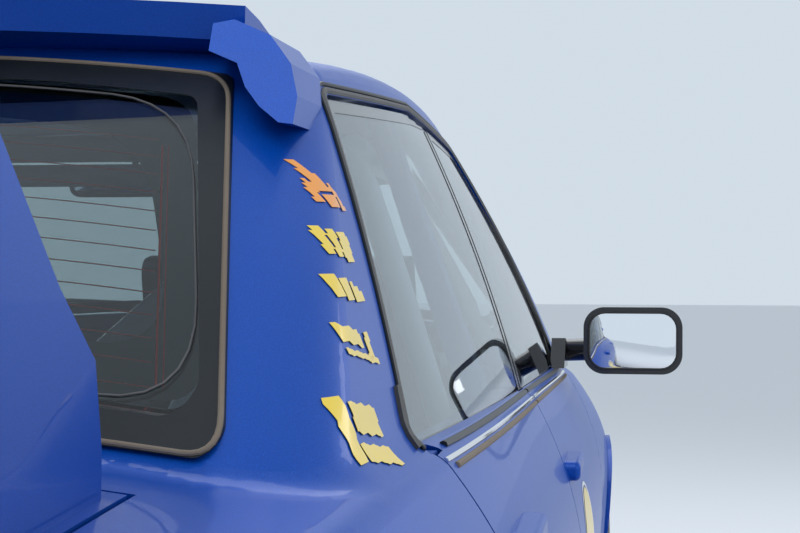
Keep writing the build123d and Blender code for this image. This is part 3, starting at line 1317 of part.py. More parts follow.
def roll_cage():
    """The tubular cage: main hoop, side bars, back stays, a diagonal and door bars."""
    hoop_top = (CAGE_HOOP_X, CAGE_TOP_Y, CAGE_TOP_Z)
    foot_z = SILL_Z + TUB_WALL * SILL_RISE
    half_hoop = [(CAGE_HOOP_X, CAGE_FOOT_Y, foot_z), (CAGE_HOOP_X, CAGE_WAIST_Y, CAGE_WAIST_Z), hoop_top]
    hoop = tube(half_hoop + [(x, -y, z) for x, y, z in reversed(half_hoop)], CAGE_R, 90)
    front_leg = tube([hoop_top, CAGE_SCREEN_TOP, CAGE_DASH, (CAGE_DASH[0], CAGE_FOOT_Y, foot_z)], CAGE_R, 60)
    stay = tube([(CAGE_HOOP_X, CAGE_TOP_Y - 60, CAGE_TOP_Z), CAGE_STAY_FOOT], CAGE_R)
    door_bar = tube([(CAGE_HOOP_X, CAGE_FOOT_Y, 480), (CAGE_DASH[0], CAGE_FOOT_Y, 420)], CAGE_R - 2)
    header = tube([CAGE_SCREEN_TOP, (CAGE_SCREEN_TOP[0], -CAGE_SCREEN_TOP[1], CAGE_SCREEN_TOP[2])], CAGE_R)
    diagonal = tube([(CAGE_HOOP_X, -CAGE_TOP_Y + 30, CAGE_TOP_Z - 10), (CAGE_HOOP_X, CAGE_FOOT_Y - 10, 340)], CAGE_R)
    left = joined(front_leg, stay, door_bar)
    shelf_room = box_between((-1400, -800, 700), (-1060, 800, SHELF_Z + SHELF_WALL))
    return without(joined(hoop, left, other_side(left), header, diagonal), shelf_room)


export(roll_cage(), "roll_cage")


def cabin_mirror():
    """The inside mirror hung from the windscreen's header."""
    with BuildPart(Plane(origin=CABIN_MIRROR)) as glass:
        Box(24, CABIN_MIRROR_WIDE, 58)
        fillet(glass.edges().filter_by(Axis.X), 20)
    return joined(glass.part, tube([CABIN_MIRROR, CABIN_MIRROR_ROOT], 6))


export(cabin_mirror(), "cabin_mirror")


def steering_wheel():
    """The steering wheel with three spokes and the end of its column."""
    with BuildPart() as wheel:
        with BuildSketch(Plane(origin=STEER_CENTRE, x_dir=(0, 1, 0), z_dir=STEER_AXIS)):
            Circle(STEER_RIM_R + 3)
            Circle(STEER_RIM_R - 25, mode=Mode.SUBTRACT)
            with PolarLocations(STEER_RIM_R / 2, 3, start_angle=-90):
                Rectangle(STEER_RIM_R - 10, 32)
            Circle(48)
        extrude(amount=9, both=True)
        with BuildSketch(Plane(origin=STEER_CENTRE, x_dir=(0, 1, 0), z_dir=STEER_AXIS)):
            Circle(STEER_RIM_R + 6)
            Circle(STEER_RIM_R - 25, mode=Mode.SUBTRACT)
        extrude(amount=14, both=True)
        with BuildSketch(Plane(origin=STEER_CENTRE, x_dir=(0, 1, 0), z_dir=STEER_AXIS)):
            Circle(24)
        extrude(amount=COLUMN_END - SEAT_GAP)
    return wheel.part


export(steering_wheel(), "steering_wheel")


# Door mirrors

def door_mirror():
    """The left door mirror: a rounded housing on its foot."""
    with BuildPart(Plane(origin=MIRROR_CENTRE)) as housing:
        Box(*MIRROR_SIZE)
        fillet(housing.edges().filter_by(Axis.X), 40)
        fillet(housing.faces().sort_by(Axis.X)[-1].edges(), 45)
        with BuildSketch(Plane.YZ.offset(-MIRROR_SIZE[0] / 2)):
            RectangleRounded(MIRROR_SIZE[1] - 24, MIRROR_SIZE[2] - 24, 30)
        extrude(amount=14, mode=Mode.SUBTRACT)
    foot_outline = [(640, belt_z(640)), (500, belt_z(500)), (560, MIRROR_CENTRE[2]), (604, MIRROR_CENTRE[2] - 18)]
    foot = side_prism(foot_outline, MIRROR_FOOT_Y, MIRROR_FOOT_Y + 28)
    arm = tube([(MIRROR_CENTRE[0] + 40, MIRROR_FOOT_Y + 20, MIRROR_CENTRE[2] - 25),
                (MIRROR_CENTRE[0] + 10, MIRROR_CENTRE[1] - 60, MIRROR_CENTRE[2] - 20)], 22)
    return without(joined(housing.part, foot, arm), CABIN_SKIN)


export_pair(door_mirror(), "mirror")
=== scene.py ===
# %% [markdown]
# # Dressing a four-door rally saloon
# The solids of this car come packed as a fixed frame: panels, glass, cabin pieces and running gear, each at its
# real place in metres. This lesson gives them their finishes and adds what a solid model leaves out, such as
# window rubber, heater wires, tyre tread, lamp reflectors and cloth pads. Every new piece is named and told which
# body it moves with, and the pieces that lie on a panel or on glass are pressed on to it.

# %% Load the frame
import math

import bpy
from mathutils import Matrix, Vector


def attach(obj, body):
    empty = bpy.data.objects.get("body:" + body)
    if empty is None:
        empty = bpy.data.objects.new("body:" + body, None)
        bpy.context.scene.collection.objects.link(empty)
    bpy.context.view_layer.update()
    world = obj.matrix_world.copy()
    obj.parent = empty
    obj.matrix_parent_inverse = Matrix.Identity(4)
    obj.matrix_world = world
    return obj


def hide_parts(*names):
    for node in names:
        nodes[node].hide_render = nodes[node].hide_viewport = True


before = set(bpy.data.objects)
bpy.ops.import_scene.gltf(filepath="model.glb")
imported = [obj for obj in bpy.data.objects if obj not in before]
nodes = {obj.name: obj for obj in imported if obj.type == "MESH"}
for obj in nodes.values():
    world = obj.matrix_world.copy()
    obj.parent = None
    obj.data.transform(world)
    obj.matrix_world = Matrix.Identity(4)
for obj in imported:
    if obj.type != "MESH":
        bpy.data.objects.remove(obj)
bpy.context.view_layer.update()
bpy.ops.object.select_all(action="DESELECT")

# %% [markdown]
# ## Studio
# A car body is a mirror with a colour, so what stands around it decides how it reads. A pale floor, a pale world
# and a few broad soft lamps give long quiet reflections, with no hard spots on the paint.

# %% Floor, world and lamps
bpy.context.scene.view_settings.view_transform = "Standard"
bpy.ops.mesh.primitive_plane_add(size=60, location=(0, 0, -0.0005))
floor = bpy.context.object
floor.name = "studio_floor"
floor_paint = bpy.data.materials.new("studio_floor")
floor_paint.use_nodes = True
shader = floor_paint.node_tree.nodes["Principled BSDF"]
shader.inputs["Base Color"].default_value = (0.72, 0.73, 0.75, 1)
shader.inputs["Roughness"].default_value = 0.75
floor.data.materials.append(floor_paint)

world = bpy.data.worlds.new("pale_sky")
bpy.context.scene.world = world
world.use_nodes = True
world.node_tree.nodes["Background"].inputs["Color"].default_value = (0.8, 0.9, 1.0, 1)
world.node_tree.nodes["Background"].inputs["Strength"].default_value = 0.8


def soft_lamp(name, place, aim, size, power):
    """A broad rectangular lamp that faces a point."""
    bpy.ops.object.light_add(type="AREA", location=place)
    lamp = bpy.context.object
    lamp.name = name
    lamp.data.shape = "RECTANGLE"
    lamp.data.size, lamp.data.size_y = size
    lamp.data.energy = power
    lamp.rotation_euler = (Vector(aim) - Vector(place)).to_track_quat("-Z", "Y").to_euler()


soft_lamp("overhead_rear", (-2.9, 0, 4.4), (-0.8, 0, 0.8), (2.2, 3.2), 45)
soft_lamp("overhead_front", (2.9, 0, 4.4), (0.6, 0, 0.8), (2.2, 3.2), 45)
soft_lamp("right_rear", (-3.4, -4.2, 2.9), (-0.5, -0.4, 0.9), (2.6, 2.0), 22)
soft_lamp("left_front", (3.4, 4.0, 2.8), (0.5, 0.3, 0.8), (3.0, 2.0), 55)
soft_lamp("right_front", (3.2, -4.4, 2.4), (0.6, -0.4, 0.7), (3.0, 2.0), 40)

# %% [markdown]
# ## Camera
# The photograph was taken from behind the right rear corner at about chest height, looking forward along the side.
# Place, aim and focal length were fitted to thirteen points of the car that show in it.

# %% Camera
camera_data = bpy.data.cameras.new("photo_view")
camera = bpy.data.objects.new("photo_view", camera_data)
bpy.context.scene.collection.objects.link(camera)
PHOTO_WIDTH, FOCAL_PIXELS, SENSOR = 800, 1593, 36.0
camera_data.sensor_width = SENSOR
camera_data.lens = FOCAL_PIXELS / PHOTO_WIDTH * SENSOR
camera_data.clip_start = 0.05
yaw, pitch = math.radians(8.76), math.radians(-0.65)
camera.location = (-2.633, -0.929, 1.141)
aim = Vector((math.cos(yaw) * math.cos(pitch), math.sin(yaw) * math.cos(pitch), math.sin(pitch)))
camera.rotation_euler = aim.to_track_quat("-Z", "Y").to_euler()
bpy.context.scene.camera = camera

# %% [markdown]
# ## Shader groups
# Three effects return in many finishes: the fine dust and fade that lies on a used car, a leather or moulded
# grain, and a woven thread. Each is a node group with named inputs, built once and placed with its own values.

# %% Group helpers
def new_group(name, inputs, outputs):
    """An empty shader group with named float or colour sockets."""
    group = bpy.data.node_groups.new(name, "ShaderNodeTree")
    for socket, kind, value in inputs:
        made = group.interface.new_socket(socket, in_out="INPUT", socket_type=kind)
        made.default_value = value
    for socket, kind in outputs:
        group.interface.new_socket(socket, in_out="OUTPUT", socket_type=kind)
    start = group.nodes.new("NodeGroupInput")
    end = group.nodes.new("NodeGroupOutput")
    return group, start, end


FLOAT, COLOUR = "NodeSocketFloat", "NodeSocketColor"


def add_node(tree, kind, **values):
    """A node with its settings; values named with in_ go to the sockets of that name."""
    node = tree.nodes.new(kind)
    for key, value in values.items():
        if key.startswith("in_"):
            node.inputs[key[3:].replace("_", " ")].default_value = value
        else:
            setattr(node, key, value)
    return node


# %% Dust and fade
dust_group, start, end = new_group(
    "dust_and_fade",
    [("Color", COLOUR, (1, 1, 1, 1)), ("Dust", COLOUR, (0.3, 0.27, 0.23, 1)), ("Amount", FLOAT, 0.1),
     ("Roughness", FLOAT, 0.3), ("Scale", FLOAT, 6.0)],
    [("Color", COLOUR), ("Roughness", FLOAT), ("Height", FLOAT)])
place = add_node(dust_group, "ShaderNodeTexCoord")
cloud = add_node(dust_group, "ShaderNodeTexNoise", in_Detail=6.0, in_Roughness=0.6)
speck = add_node(dust_group, "ShaderNodeTexNoise", in_Scale=260.0, in_Detail=2.0)
level = add_node(dust_group, "ShaderNodeMapRange", in_From_Min=0.42, in_From_Max=0.78)
times = add_node(dust_group, "ShaderNodeMath", operation="MULTIPLY")
mix = add_node(dust_group, "ShaderNodeMix", data_type="RGBA")
rough = add_node(dust_group, "ShaderNodeMath", operation="MULTIPLY_ADD", use_clamp=True)
link = dust_group.links.new
link(place.outputs["Object"], cloud.inputs["Vector"])
link(place.outputs["Object"], speck.inputs["Vector"])
link(start.outputs["Scale"], cloud.inputs["Scale"])
link(cloud.outputs["Fac"], level.inputs["Value"])
link(level.outputs["Result"], times.inputs[0])
link(start.outputs["Amount"], times.inputs[1])
link(times.outputs[0], mix.inputs["Factor"])
link(start.outputs["Color"], mix.inputs["A"])
link(start.outputs["Dust"], mix.inputs["B"])
link(times.outputs[0], rough.inputs[0])
rough.inputs[1].default_value = 0.6
link(start.outputs["Roughness"], rough.inputs[2])
link(mix.outputs["Result"], end.inputs["Color"])
link(rough.outputs[0], end.inputs["Roughness"])
link(speck.outputs["Fac"], end.inputs["Height"])

# %% Moulded or leather grain
grain_group, start, end = new_group("moulded_grain", [("Scale", FLOAT, 300.0), ("Depth", FLOAT, 1.0)],
                                    [("Height", FLOAT)])
place = add_node(grain_group, "ShaderNodeTexCoord")
cells = add_node(grain_group, "ShaderNodeTexVoronoi", feature="DISTANCE_TO_EDGE")
soft = add_node(grain_group, "ShaderNodeMapRange", in_From_Max=0.35)
deep = add_node(grain_group, "ShaderNodeMath", operation="MULTIPLY")
link = grain_group.links.new
link(place.outputs["Object"], cells.inputs["Vector"])
link(start.outputs["Scale"], cells.inputs["Scale"])
link(cells.outputs["Distance"], soft.inputs["Value"])
link(soft.outputs["Result"], deep.inputs[0])
link(start.outputs["Depth"], deep.inputs[1])
link(deep.outputs[0], end.inputs["Height"])

# %% Woven thread
weave_group, start, end = new_group("woven_thread", [("Scale", FLOAT, 500.0)], [("Height", FLOAT), ("Shade", FLOAT)])
place = add_node(weave_group, "ShaderNodeTexCoord")
warp = add_node(weave_group, "ShaderNodeTexWave", wave_type="BANDS", bands_direction="DIAGONAL")
weft = add_node(weave_group, "ShaderNodeTexWave", wave_type="BANDS", bands_direction="Z")
high = add_node(weave_group, "ShaderNodeMath", operation="MAXIMUM")
shade = add_node(weave_group, "ShaderNodeMapRange", in_To_Min=0.75, in_To_Max=1.1)
link = weave_group.links.new
for band in (warp, weft):
    link(place.outputs["Object"], band.inputs["Vector"])
    link(start.outputs["Scale"], band.inputs["Scale"])
link(warp.outputs["Fac"], high.inputs[0])
link(weft.outputs["Fac"], high.inputs[1])
link(high.outputs[0], shade.inputs["Value"])
link(high.outputs[0], end.inputs["Height"])
link(shade.outputs["Result"], end.inputs["Shade"])
print("shader groups:", dust_group.name, grain_group.name, weave_group.name)


# %% [markdown]
# ## Finishes
# One function makes a dusty base from a colour, a roughness and a metal share. Paint adds a clear coat and fine
# flakes, plastic and rubber add grain, cloth adds a weave. Glass is a real thin slab here, so it refracts and tints
# by itself and only needs its colour.

# %% Finish makers
def finish(name, colour, rough, metal=0.0, dust=0.12, scale=6.0, bump=0.02):
    """A material with dust and fade over a plain base."""
    made = bpy.data.materials.new(name)
    made.use_nodes = True
    tree = made.node_tree
    shader = tree.nodes["Principled BSDF"]
    shader.inputs["Metallic"].default_value = metal
    worn = add_node(tree, "ShaderNodeGroup", node_tree=dust_group)
    worn.inputs["Color"].default_value = (*colour, 1)
    worn.inputs["Amount"].default_value = dust
    worn.inputs["Roughness"].default_value = rough
    worn.inputs["Scale"].default_value = scale
    worn.name = "worn"
    raised = add_node(tree, "ShaderNodeBump", in_Strength=bump, in_Distance=0.001)
    raised.name = "raised"
    tree.links.new(worn.outputs["Color"], shader.inputs["Base Color"])
    tree.links.new(worn.outputs["Roughness"], shader.inputs["Roughness"])
    tree.links.new(worn.outputs["Height"], raised.inputs["Height"])
    tree.links.new(raised.outputs["Normal"], shader.inputs["Normal"])
    return made


def grained(made, scale, strength=0.25):
    """Gives a finish a moulded or leather grain."""
    tree = made.node_tree
    grain = add_node(tree, "ShaderNodeGroup", node_tree=grain_group)
    grain.inputs["Scale"].default_value = scale
    tree.nodes["raised"].inputs["Strength"].default_value = strength
    tree.links.new(grain.outputs["Height"], tree.nodes["raised"].inputs["Height"])
    return made


def woven(made, scale, strength=0.5):
    """Gives a finish a woven surface."""
    tree = made.node_tree
    cloth = add_node(tree, "ShaderNodeGroup", node_tree=weave_group)
    cloth.inputs["Scale"].default_value = scale
    tint = add_node(tree, "ShaderNodeMix", data_type="RGBA", blend_type="MULTIPLY")
    tint.inputs["Factor"].default_value = 1.0
    tree.nodes["raised"].inputs["Strength"].default_value = strength
    tree.links.new(cloth.outputs["Height"], tree.nodes["raised"].inputs["Height"])
    tree.links.new(tree.nodes["worn"].outputs["Color"], tint.inputs["A"])
    tree.links.new(cloth.outputs["Shade"], tint.inputs["B"])
    tree.links.new(tint.outputs["Result"], tree.nodes["Principled BSDF"].inputs["Base Color"])
    return made


def coated(made, weight=1.0, rough=0.04):
    """A clear coat over a finish."""
    shader = made.node_tree.nodes["Principled BSDF"]
    shader.inputs["Coat Weight"].default_value = weight
    shader.inputs["Coat Roughness"].default_value = rough
    return made


# %% Metallic paint
def flake_paint(name, colour, bright):
    """Metallic paint: two near shades broken up by fine flakes, under clear coat."""
    made = coated(finish(name, colour, 0.4, metal=0.3, dust=0.012, bump=0.004), 0.25, 0.03)
    made.node_tree.nodes["Principled BSDF"].inputs["Specular IOR Level"].default_value = 0.15
    tree = made.node_tree
    where = add_node(tree, "ShaderNodeTexCoord")
    flakes = add_node(tree, "ShaderNodeTexVoronoi", in_Scale=900.0)
    pick = add_node(tree, "ShaderNodeMix", data_type="RGBA")
    pick.inputs["A"].default_value = (*colour, 1)
    pick.inputs["B"].default_value = (*bright, 1)
    tree.links.new(where.outputs["Object"], flakes.inputs["Vector"])
    tree.links.new(flakes.outputs["Distance"], pick.inputs["Factor"])
    tree.links.new(pick.outputs["Result"], tree.nodes["worn"].inputs["Color"])
    return made


blue_paint = flake_paint("blue_paint", (0.0, 0.045, 0.3), (0.0, 0.08, 0.46))


# %% Glass
def glass(name, colour, rough=0.0):
    """Tinted glass for a thin closed slab, with a little dust in its roughness."""
    made = bpy.data.materials.new(name)
    made.use_nodes = True
    tree = made.node_tree
    shader = tree.nodes["Principled BSDF"]
    shader.inputs["Base Color"].default_value = (*colour, 1)
    shader.inputs["Transmission Weight"].default_value = 1.0
    shader.inputs["IOR"].default_value = 1.45
    film = add_node(tree, "ShaderNodeTexNoise", in_Scale=9.0, in_Detail=5.0)
    where = add_node(tree, "ShaderNodeTexCoord")
    thin = add_node(tree, "ShaderNodeMapRange", in_From_Min=0.45, in_From_Max=0.9, in_To_Min=rough,
                    in_To_Max=rough + 0.012)
    tree.links.new(where.outputs["Object"], film.inputs["Vector"])
    tree.links.new(film.outputs["Fac"], thin.inputs["Value"])
    tree.links.new(thin.outputs["Result"], shader.inputs["Roughness"])
    return made


screen_glass = glass("screen_glass", (0.86, 0.92, 0.9))
side_glass = glass("side_glass", (0.55, 0.66, 0.7))
rear_glass = glass("rear_glass", (0.3, 0.38, 0.4))
lamp_glass = glass("lamp_glass", (0.97, 0.98, 1.0))
red_lens = glass("red_lens", (0.75, 0.02, 0.015), 0.05)

# %% Other finishes
seal_rubber = finish("seal_rubber", (0.006, 0.009, 0.013), 0.38, dust=0.02, bump=0.02)
seal_rubber.node_tree.nodes["Principled BSDF"].inputs["Specular IOR Level"].default_value = 0.25
matt_rubber = grained(finish("matt_rubber", (0.02, 0.02, 0.021), 0.72, dust=0.35, bump=0.1), 420)
tyre_rubber = grained(finish("tyre_rubber", (0.013, 0.013, 0.014), 0.78, dust=0.5, scale=9, bump=0.15), 260)
trim_plastic = grained(finish("trim_plastic", (0.014, 0.014, 0.016), 0.55, dust=0.12), 900)
gloss_plastic = coated(finish("gloss_plastic", (0.008, 0.008, 0.01), 0.2, dust=0.05), 0.6, 0.06)
# Grey rubber. On the side window runs this grey is partly a painted reflection of the sky on black rubber.
grey_rubber = grained(finish("grey_rubber", (0.075, 0.075, 0.08), 0.6, dust=0.25), 500)
brown_rubber = grained(finish("brown_rubber", (0.16, 0.12, 0.085), 0.7, dust=0.4), 500)
rim_paint = coated(finish("rim_paint", (0.42, 0.43, 0.44), 0.3, metal=0.6, dust=0.35, scale=14), 0.5, 0.1)
steel = finish("steel", (0.5, 0.5, 0.5), 0.32, metal=1.0, dust=0.25, scale=20)
dark_steel = finish("dark_steel", (0.06, 0.06, 0.065), 0.5, metal=0.6, dust=0.45, scale=10)
cast_alloy = grained(finish("cast_alloy", (0.38, 0.38, 0.4), 0.5, metal=0.9, dust=0.3, scale=10), 240, 0.15)
chrome = finish("chrome", (0.85, 0.85, 0.86), 0.06, metal=1.0, dust=0.04)
underseal = grained(finish("underseal", (0.035, 0.036, 0.04), 0.8, dust=0.5), 180, 0.3)
cage_paint = coated(finish("cage_paint", (0.7, 0.71, 0.72), 0.35, dust=0.08), 0.4, 0.1)
seat_cloth = woven(finish("seat_cloth", (0.022, 0.024, 0.034), 0.9, dust=0.2), 420)
pad_cloth = woven(finish("pad_cloth", (0.012, 0.03, 0.12), 0.9, dust=0.18), 520)
belt_web = woven(finish("belt_web", (0.45, 0.016, 0.014), 0.75, dust=0.1), 700)
shelf_cloth = woven(finish("shelf_cloth", (0.3, 0.29, 0.28), 0.95, dust=0.2), 380)
flap_rubber = grained(finish("flap_rubber", (0.3, 0.016, 0.014), 0.6, dust=0.4), 300)
yellow_vinyl = coated(finish("yellow_vinyl", (0.86, 0.6, 0.02), 0.3, dust=0.06), 0.5, 0.08)
orange_vinyl = coated(finish("orange_vinyl", (0.86, 0.3, 0.015), 0.3, dust=0.06), 0.5, 0.08)
white_vinyl = coated(finish("white_vinyl", (0.8, 0.8, 0.79), 0.3, dust=0.06), 0.5, 0.08)
heater_red = finish("heater_red", (0.42, 0.03, 0.02), 0.5, dust=0.0)
frit_black = finish("frit_black", (0.004, 0.004, 0.004), 0.35, dust=0.03)
mirror_glass = finish("mirror_glass", (0.95, 0.97, 1.0), 0.03, metal=1.0, dust=0.01)
carbon = coated(woven(finish("carbon", (0.02, 0.02, 0.022), 0.35, dust=0.05), 260, 0.2), 0.7, 0.05)

# %% Finish for each solid
def pair(name):
    """The left and right names of a mirrored solid."""
    return (f"{name}_left", f"{name}_right")


NODE_FINISHES = (
    (blue_paint, (*pair("front_door"), *pair("rear_door"), *pair("side_frame"), "roof_panel", "roof_vane", "front_wings",
                  "bonnet", "boot_lid", "rear_wing", "front_bumper", "rear_bumper", "rear_structure", "front_structure")),
    (side_glass, (*pair("front_door_glass"), *pair("rear_door_glass"))),
    (screen_glass, ("windscreen",)), (rear_glass, ("rear_window",)), (seal_rubber, ("rear_window_seal",)),
    (gloss_plastic, (*pair("mirror"), "grille")), (trim_plastic, ("dashboard", "cabin_mirror", "steering_wheel")),
    (lamp_glass, ("headlamps", "fog_lamps")), (red_lens, ("tail_lamps",)), (underseal, ("floor_pan",)),
    (rim_paint, (*pair("rim_front"), *pair("rim_rear"))), (tyre_rubber, (*pair("tyre_front"), *pair("tyre_rear"))),
    (dark_steel, (*pair("knuckle"), "front_suspension", "rear_suspension")), (cast_alloy, ("engine",)),
    (steel, ("exhaust",)), (flap_rubber, ("mud_flaps",)), (carbon, ("front_seats",)), (cage_paint, ("roll_cage",)),
)
for material, names in NODE_FINISHES:
    for name in names:
        nodes[name].data.materials.clear()
        nodes[name].data.materials.append(material)
print("finished solids:", sum(len(names) for _, names in NODE_FINISHES))


# %% [markdown]
# ## Tools of the bench
# These helpers do by code what a hand does in the viewport: pick one object, apply its modifiers, press a flat
# piece on to a panel along an axis, and settle it on its body. A bead is an edge path turned into a round cord of
# rubber. A patch is a fine grid cut to a convex outline, which then follows a curved panel like a sticker does.

# %% Selecting and settling
def only(piece):
    """Selects one piece alone."""
    if bpy.context.object and bpy.context.object.mode != "OBJECT":
        bpy.ops.object.mode_set(mode="OBJECT")
    bpy.ops.object.select_all(action="DESELECT")
    piece.select_set(True)
    bpy.context.view_layer.objects.active = piece


def apply_modifiers(piece):
    """Applies what is on the stack, first to last."""
    only(piece)
    for modifier in list(piece.modifiers):
        bpy.ops.object.modifier_apply(modifier=modifier.name)


def add_wall(piece, thick):
    """Puts a wall modifier on a flat piece, half to each side."""
    wall = piece.modifiers.new("wall", "SOLIDIFY")
    wall.thickness = thick
    wall.offset = 0


def add_round(piece, width, segments=2, by_angle=False):
    """Puts a bevel on a piece, on all its edges or on the sharp ones."""
    soft = piece.modifiers.new("soft", "BEVEL")
    soft.width, soft.segments = width, segments
    soft.limit_method = "ANGLE" if by_angle else soft.limit_method


def settle(piece, name, body, material, smooth=35):
    """Gives a finished piece its name, material, slot and body, with its place in its mesh."""
    only(piece)
    piece.name = piece.data.name = name
    bpy.ops.object.transform_apply(location=True, rotation=True, scale=True)
    if smooth:
        bpy.ops.object.shade_smooth_by_angle(angle=math.radians(smooth))
    piece.data.materials.clear()
    piece.data.materials.append(material)
    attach(piece, body)
    return piece


def join(pieces):
    """Joins pieces into the first one."""
    only(pieces[0])
    for piece in pieces[1:]:
        piece.select_set(True)
    bpy.ops.object.join()
    return bpy.context.object


def press(piece, node, axis, positive, stand=0.0004):
    """Presses a piece on to a solid along an axis, up it if positive, and drops what misses the solid."""
    wrap = piece.modifiers.new("press", "SHRINKWRAP")
    wrap.target = nodes[node]
    wrap.wrap_method = "PROJECT"
    wrap.use_project_x, wrap.use_project_y, wrap.use_project_z = (axis == a for a in "XYZ")
    wrap.use_positive_direction = positive
    wrap.use_negative_direction = not positive
    wrap.offset = stand
    side = "XYZ".index(axis)
    before = [vertex.co[side] for vertex in piece.data.vertices]
    apply_modifiers(piece)
    missed = [i for i, was in enumerate(before) if abs(piece.data.vertices[i].co[side] - was) < 0.000001]
    if missed:
        bpy.ops.object.mode_set(mode="EDIT")
        bpy.ops.mesh.select_all(action="DESELECT")
        bpy.ops.object.mode_set(mode="OBJECT")
        for i in missed:
            piece.data.vertices[i].select = True
        bpy.ops.object.mode_set(mode="EDIT")
        bpy.ops.mesh.delete(type="VERT")
        bpy.ops.object.mode_set(mode="OBJECT")
        print("  dropped", len(missed), "of", len(before), "points off", node)


# %% Beads
def rounded(points, radius, steps=6, closed=False):
    """A path of flat points with each inner corner rounded."""
    count, path = len(points), []
    for i, corner in enumerate(points):
        corner = Vector(corner)
        if not closed and i in (0, count - 1):
            path.append(corner)
            continue
        before, after = Vector(points[i - 1]) - corner, Vector(points[(i + 1) % count]) - corner
        half = before.angle(after) / 2
        reach = min(radius / math.tan(half), before.length * 0.45, after.length * 0.45)
        a, b = corner + before.normalized() * reach, corner + after.normalized() * reach
        for k in range(steps + 1):
            t = k / steps
            path.append(a * (1 - t) ** 2 + corner * 2 * t * (1 - t) + b * t ** 2)
    return path


def spread(path, step=0.02, closed=False):
    """The same path with points no further apart than a step."""
    dense = []
    ends = list(zip(path, path[1:] + ([path[0]] if closed else [])))
    for a, b in ends:
        count = max(1, int((b - a).length / step))
        dense += [a.lerp(b, k / count) for k in range(count)]
    return dense if closed else dense + [path[-1]]


def edge_path(points, closed=False):
    """An edge path through points, made from a circle whose vertices are moved. A circle has at least three."""
    if len(points) == 2:
        points = [points[0], points[0].lerp(points[1], 0.5), points[1]]
    bpy.ops.mesh.primitive_circle_add(vertices=len(points), radius=0.1)
    path = bpy.context.object
    for vertex, point in zip(path.data.vertices, points):
        vertex.co = point
    if not closed:
        last = len(points) - 1
        bpy.ops.object.mode_set(mode="EDIT")
        bpy.ops.mesh.select_all(action="DESELECT")
        bpy.ops.object.mode_set(mode="OBJECT")
        for edge in path.data.edges:
            edge.select = set(edge.vertices) == {0, last}
        bpy.ops.object.mode_set(mode="EDIT")
        bpy.ops.mesh.select_mode(type="EDGE")
        bpy.ops.mesh.delete(type="EDGE")
        bpy.ops.mesh.select_mode(type="VERT")
        bpy.ops.object.mode_set(mode="OBJECT")
    return path


def bead(points, radius, node=None, axis="Y", positive=False, stand=0.0, closed=False, sides=3):
    """A round bead of rubber, wire or tube along a path, pressed on to a solid when one is named."""
    path = edge_path(points, closed)
    if node:
        press(path, node, axis, positive, stand)
    only(path)
    bpy.ops.object.convert(target="CURVE")
    path = bpy.context.object
    path.data.bevel_depth = radius
    path.data.bevel_resolution = sides
    path.data.use_fill_caps = True
    bpy.ops.object.convert(target="MESH")
    return bpy.context.object


# %% Patches and rings
def patch(corners, start, node, axis="Y", positive=False, thick=0.0006, cell=0.008, stand=0.0005):
    """A thin sheet with a convex outline, pressed on to a solid. Corners go round in order."""
    flat = {"Y": lambda u, v: (u, start, v), "X": lambda u, v: (start, u, v), "Z": lambda u, v: (u, v, start)}[axis]
    us, vs = [c[0] for c in corners], [c[1] for c in corners]
    middle = ((min(us) + max(us)) / 2, (min(vs) + max(vs)) / 2)
    wide, high = max(us) - min(us), max(vs) - min(vs)
    columns, rows = max(2, int(wide / cell)), max(2, int(high / cell))
    bpy.ops.mesh.primitive_grid_add(x_subdivisions=columns, y_subdivisions=rows, size=1)
    sheet = bpy.context.object
    for vertex in sheet.data.vertices:
        vertex.co = flat(middle[0] + vertex.co.x * wide, middle[1] + vertex.co.y * high)
    bpy.ops.object.mode_set(mode="EDIT")
    centre = Vector(flat(sum(us) / len(us), sum(vs) / len(vs)))
    facing = Vector({"X": (1, 0, 0), "Y": (0, 1, 0), "Z": (0, 0, 1)}[axis])
    for a, b in zip(corners, corners[1:] + corners[:1]):
        a, b = Vector(flat(*a)), Vector(flat(*b))
        outwards = (b - a).cross(facing)
        if outwards.dot(centre - a) > 0:
            outwards = -outwards
        bpy.ops.mesh.select_all(action="SELECT")
        bpy.ops.mesh.bisect(plane_co=a, plane_no=outwards, clear_outer=True)
    bpy.ops.object.mode_set(mode="OBJECT")
    press(sheet, node, axis, positive, stand)
    if thick:
        add_wall(sheet, thick)
        apply_modifiers(sheet)
    return sheet


def strip(outer, inner, node=None, axis="X", positive=True, stand=0.0005, thick=0.0005, closed=False):
    """A thin band between two paths of as many points, made from a grid and pressed on to a solid."""
    count = len(outer) - (0 if closed else 1)
    bpy.ops.mesh.primitive_grid_add(x_subdivisions=count, y_subdivisions=3, size=1)
    band = bpy.context.object
    for vertex in band.data.vertices:
        i = round((vertex.co.x + 0.5) * count) % len(outer)
        vertex.co = outer[i].lerp(inner[i], vertex.co.y + 0.5)
    if closed:
        bpy.ops.object.mode_set(mode="EDIT")
        bpy.ops.mesh.select_all(action="SELECT")
        bpy.ops.mesh.remove_doubles(threshold=0.00005)
        bpy.ops.object.mode_set(mode="OBJECT")
    if node:
        press(band, node, axis, positive, stand)
    add_wall(band, thick)
    apply_modifiers(band)
    return band


def plate(points, thick, bevel=0.0008):
    """A flat plate with any flat outline, its rim slightly rounded."""
    path = edge_path(points, True)
    bpy.ops.object.mode_set(mode="EDIT")
    bpy.ops.mesh.select_all(action="SELECT")
    bpy.ops.mesh.edge_face_add()
    bpy.ops.object.mode_set(mode="OBJECT")
    add_wall(path, thick)
    if bevel:
        add_round(path, bevel, by_angle=True)
    apply_modifiers(path)
    return path


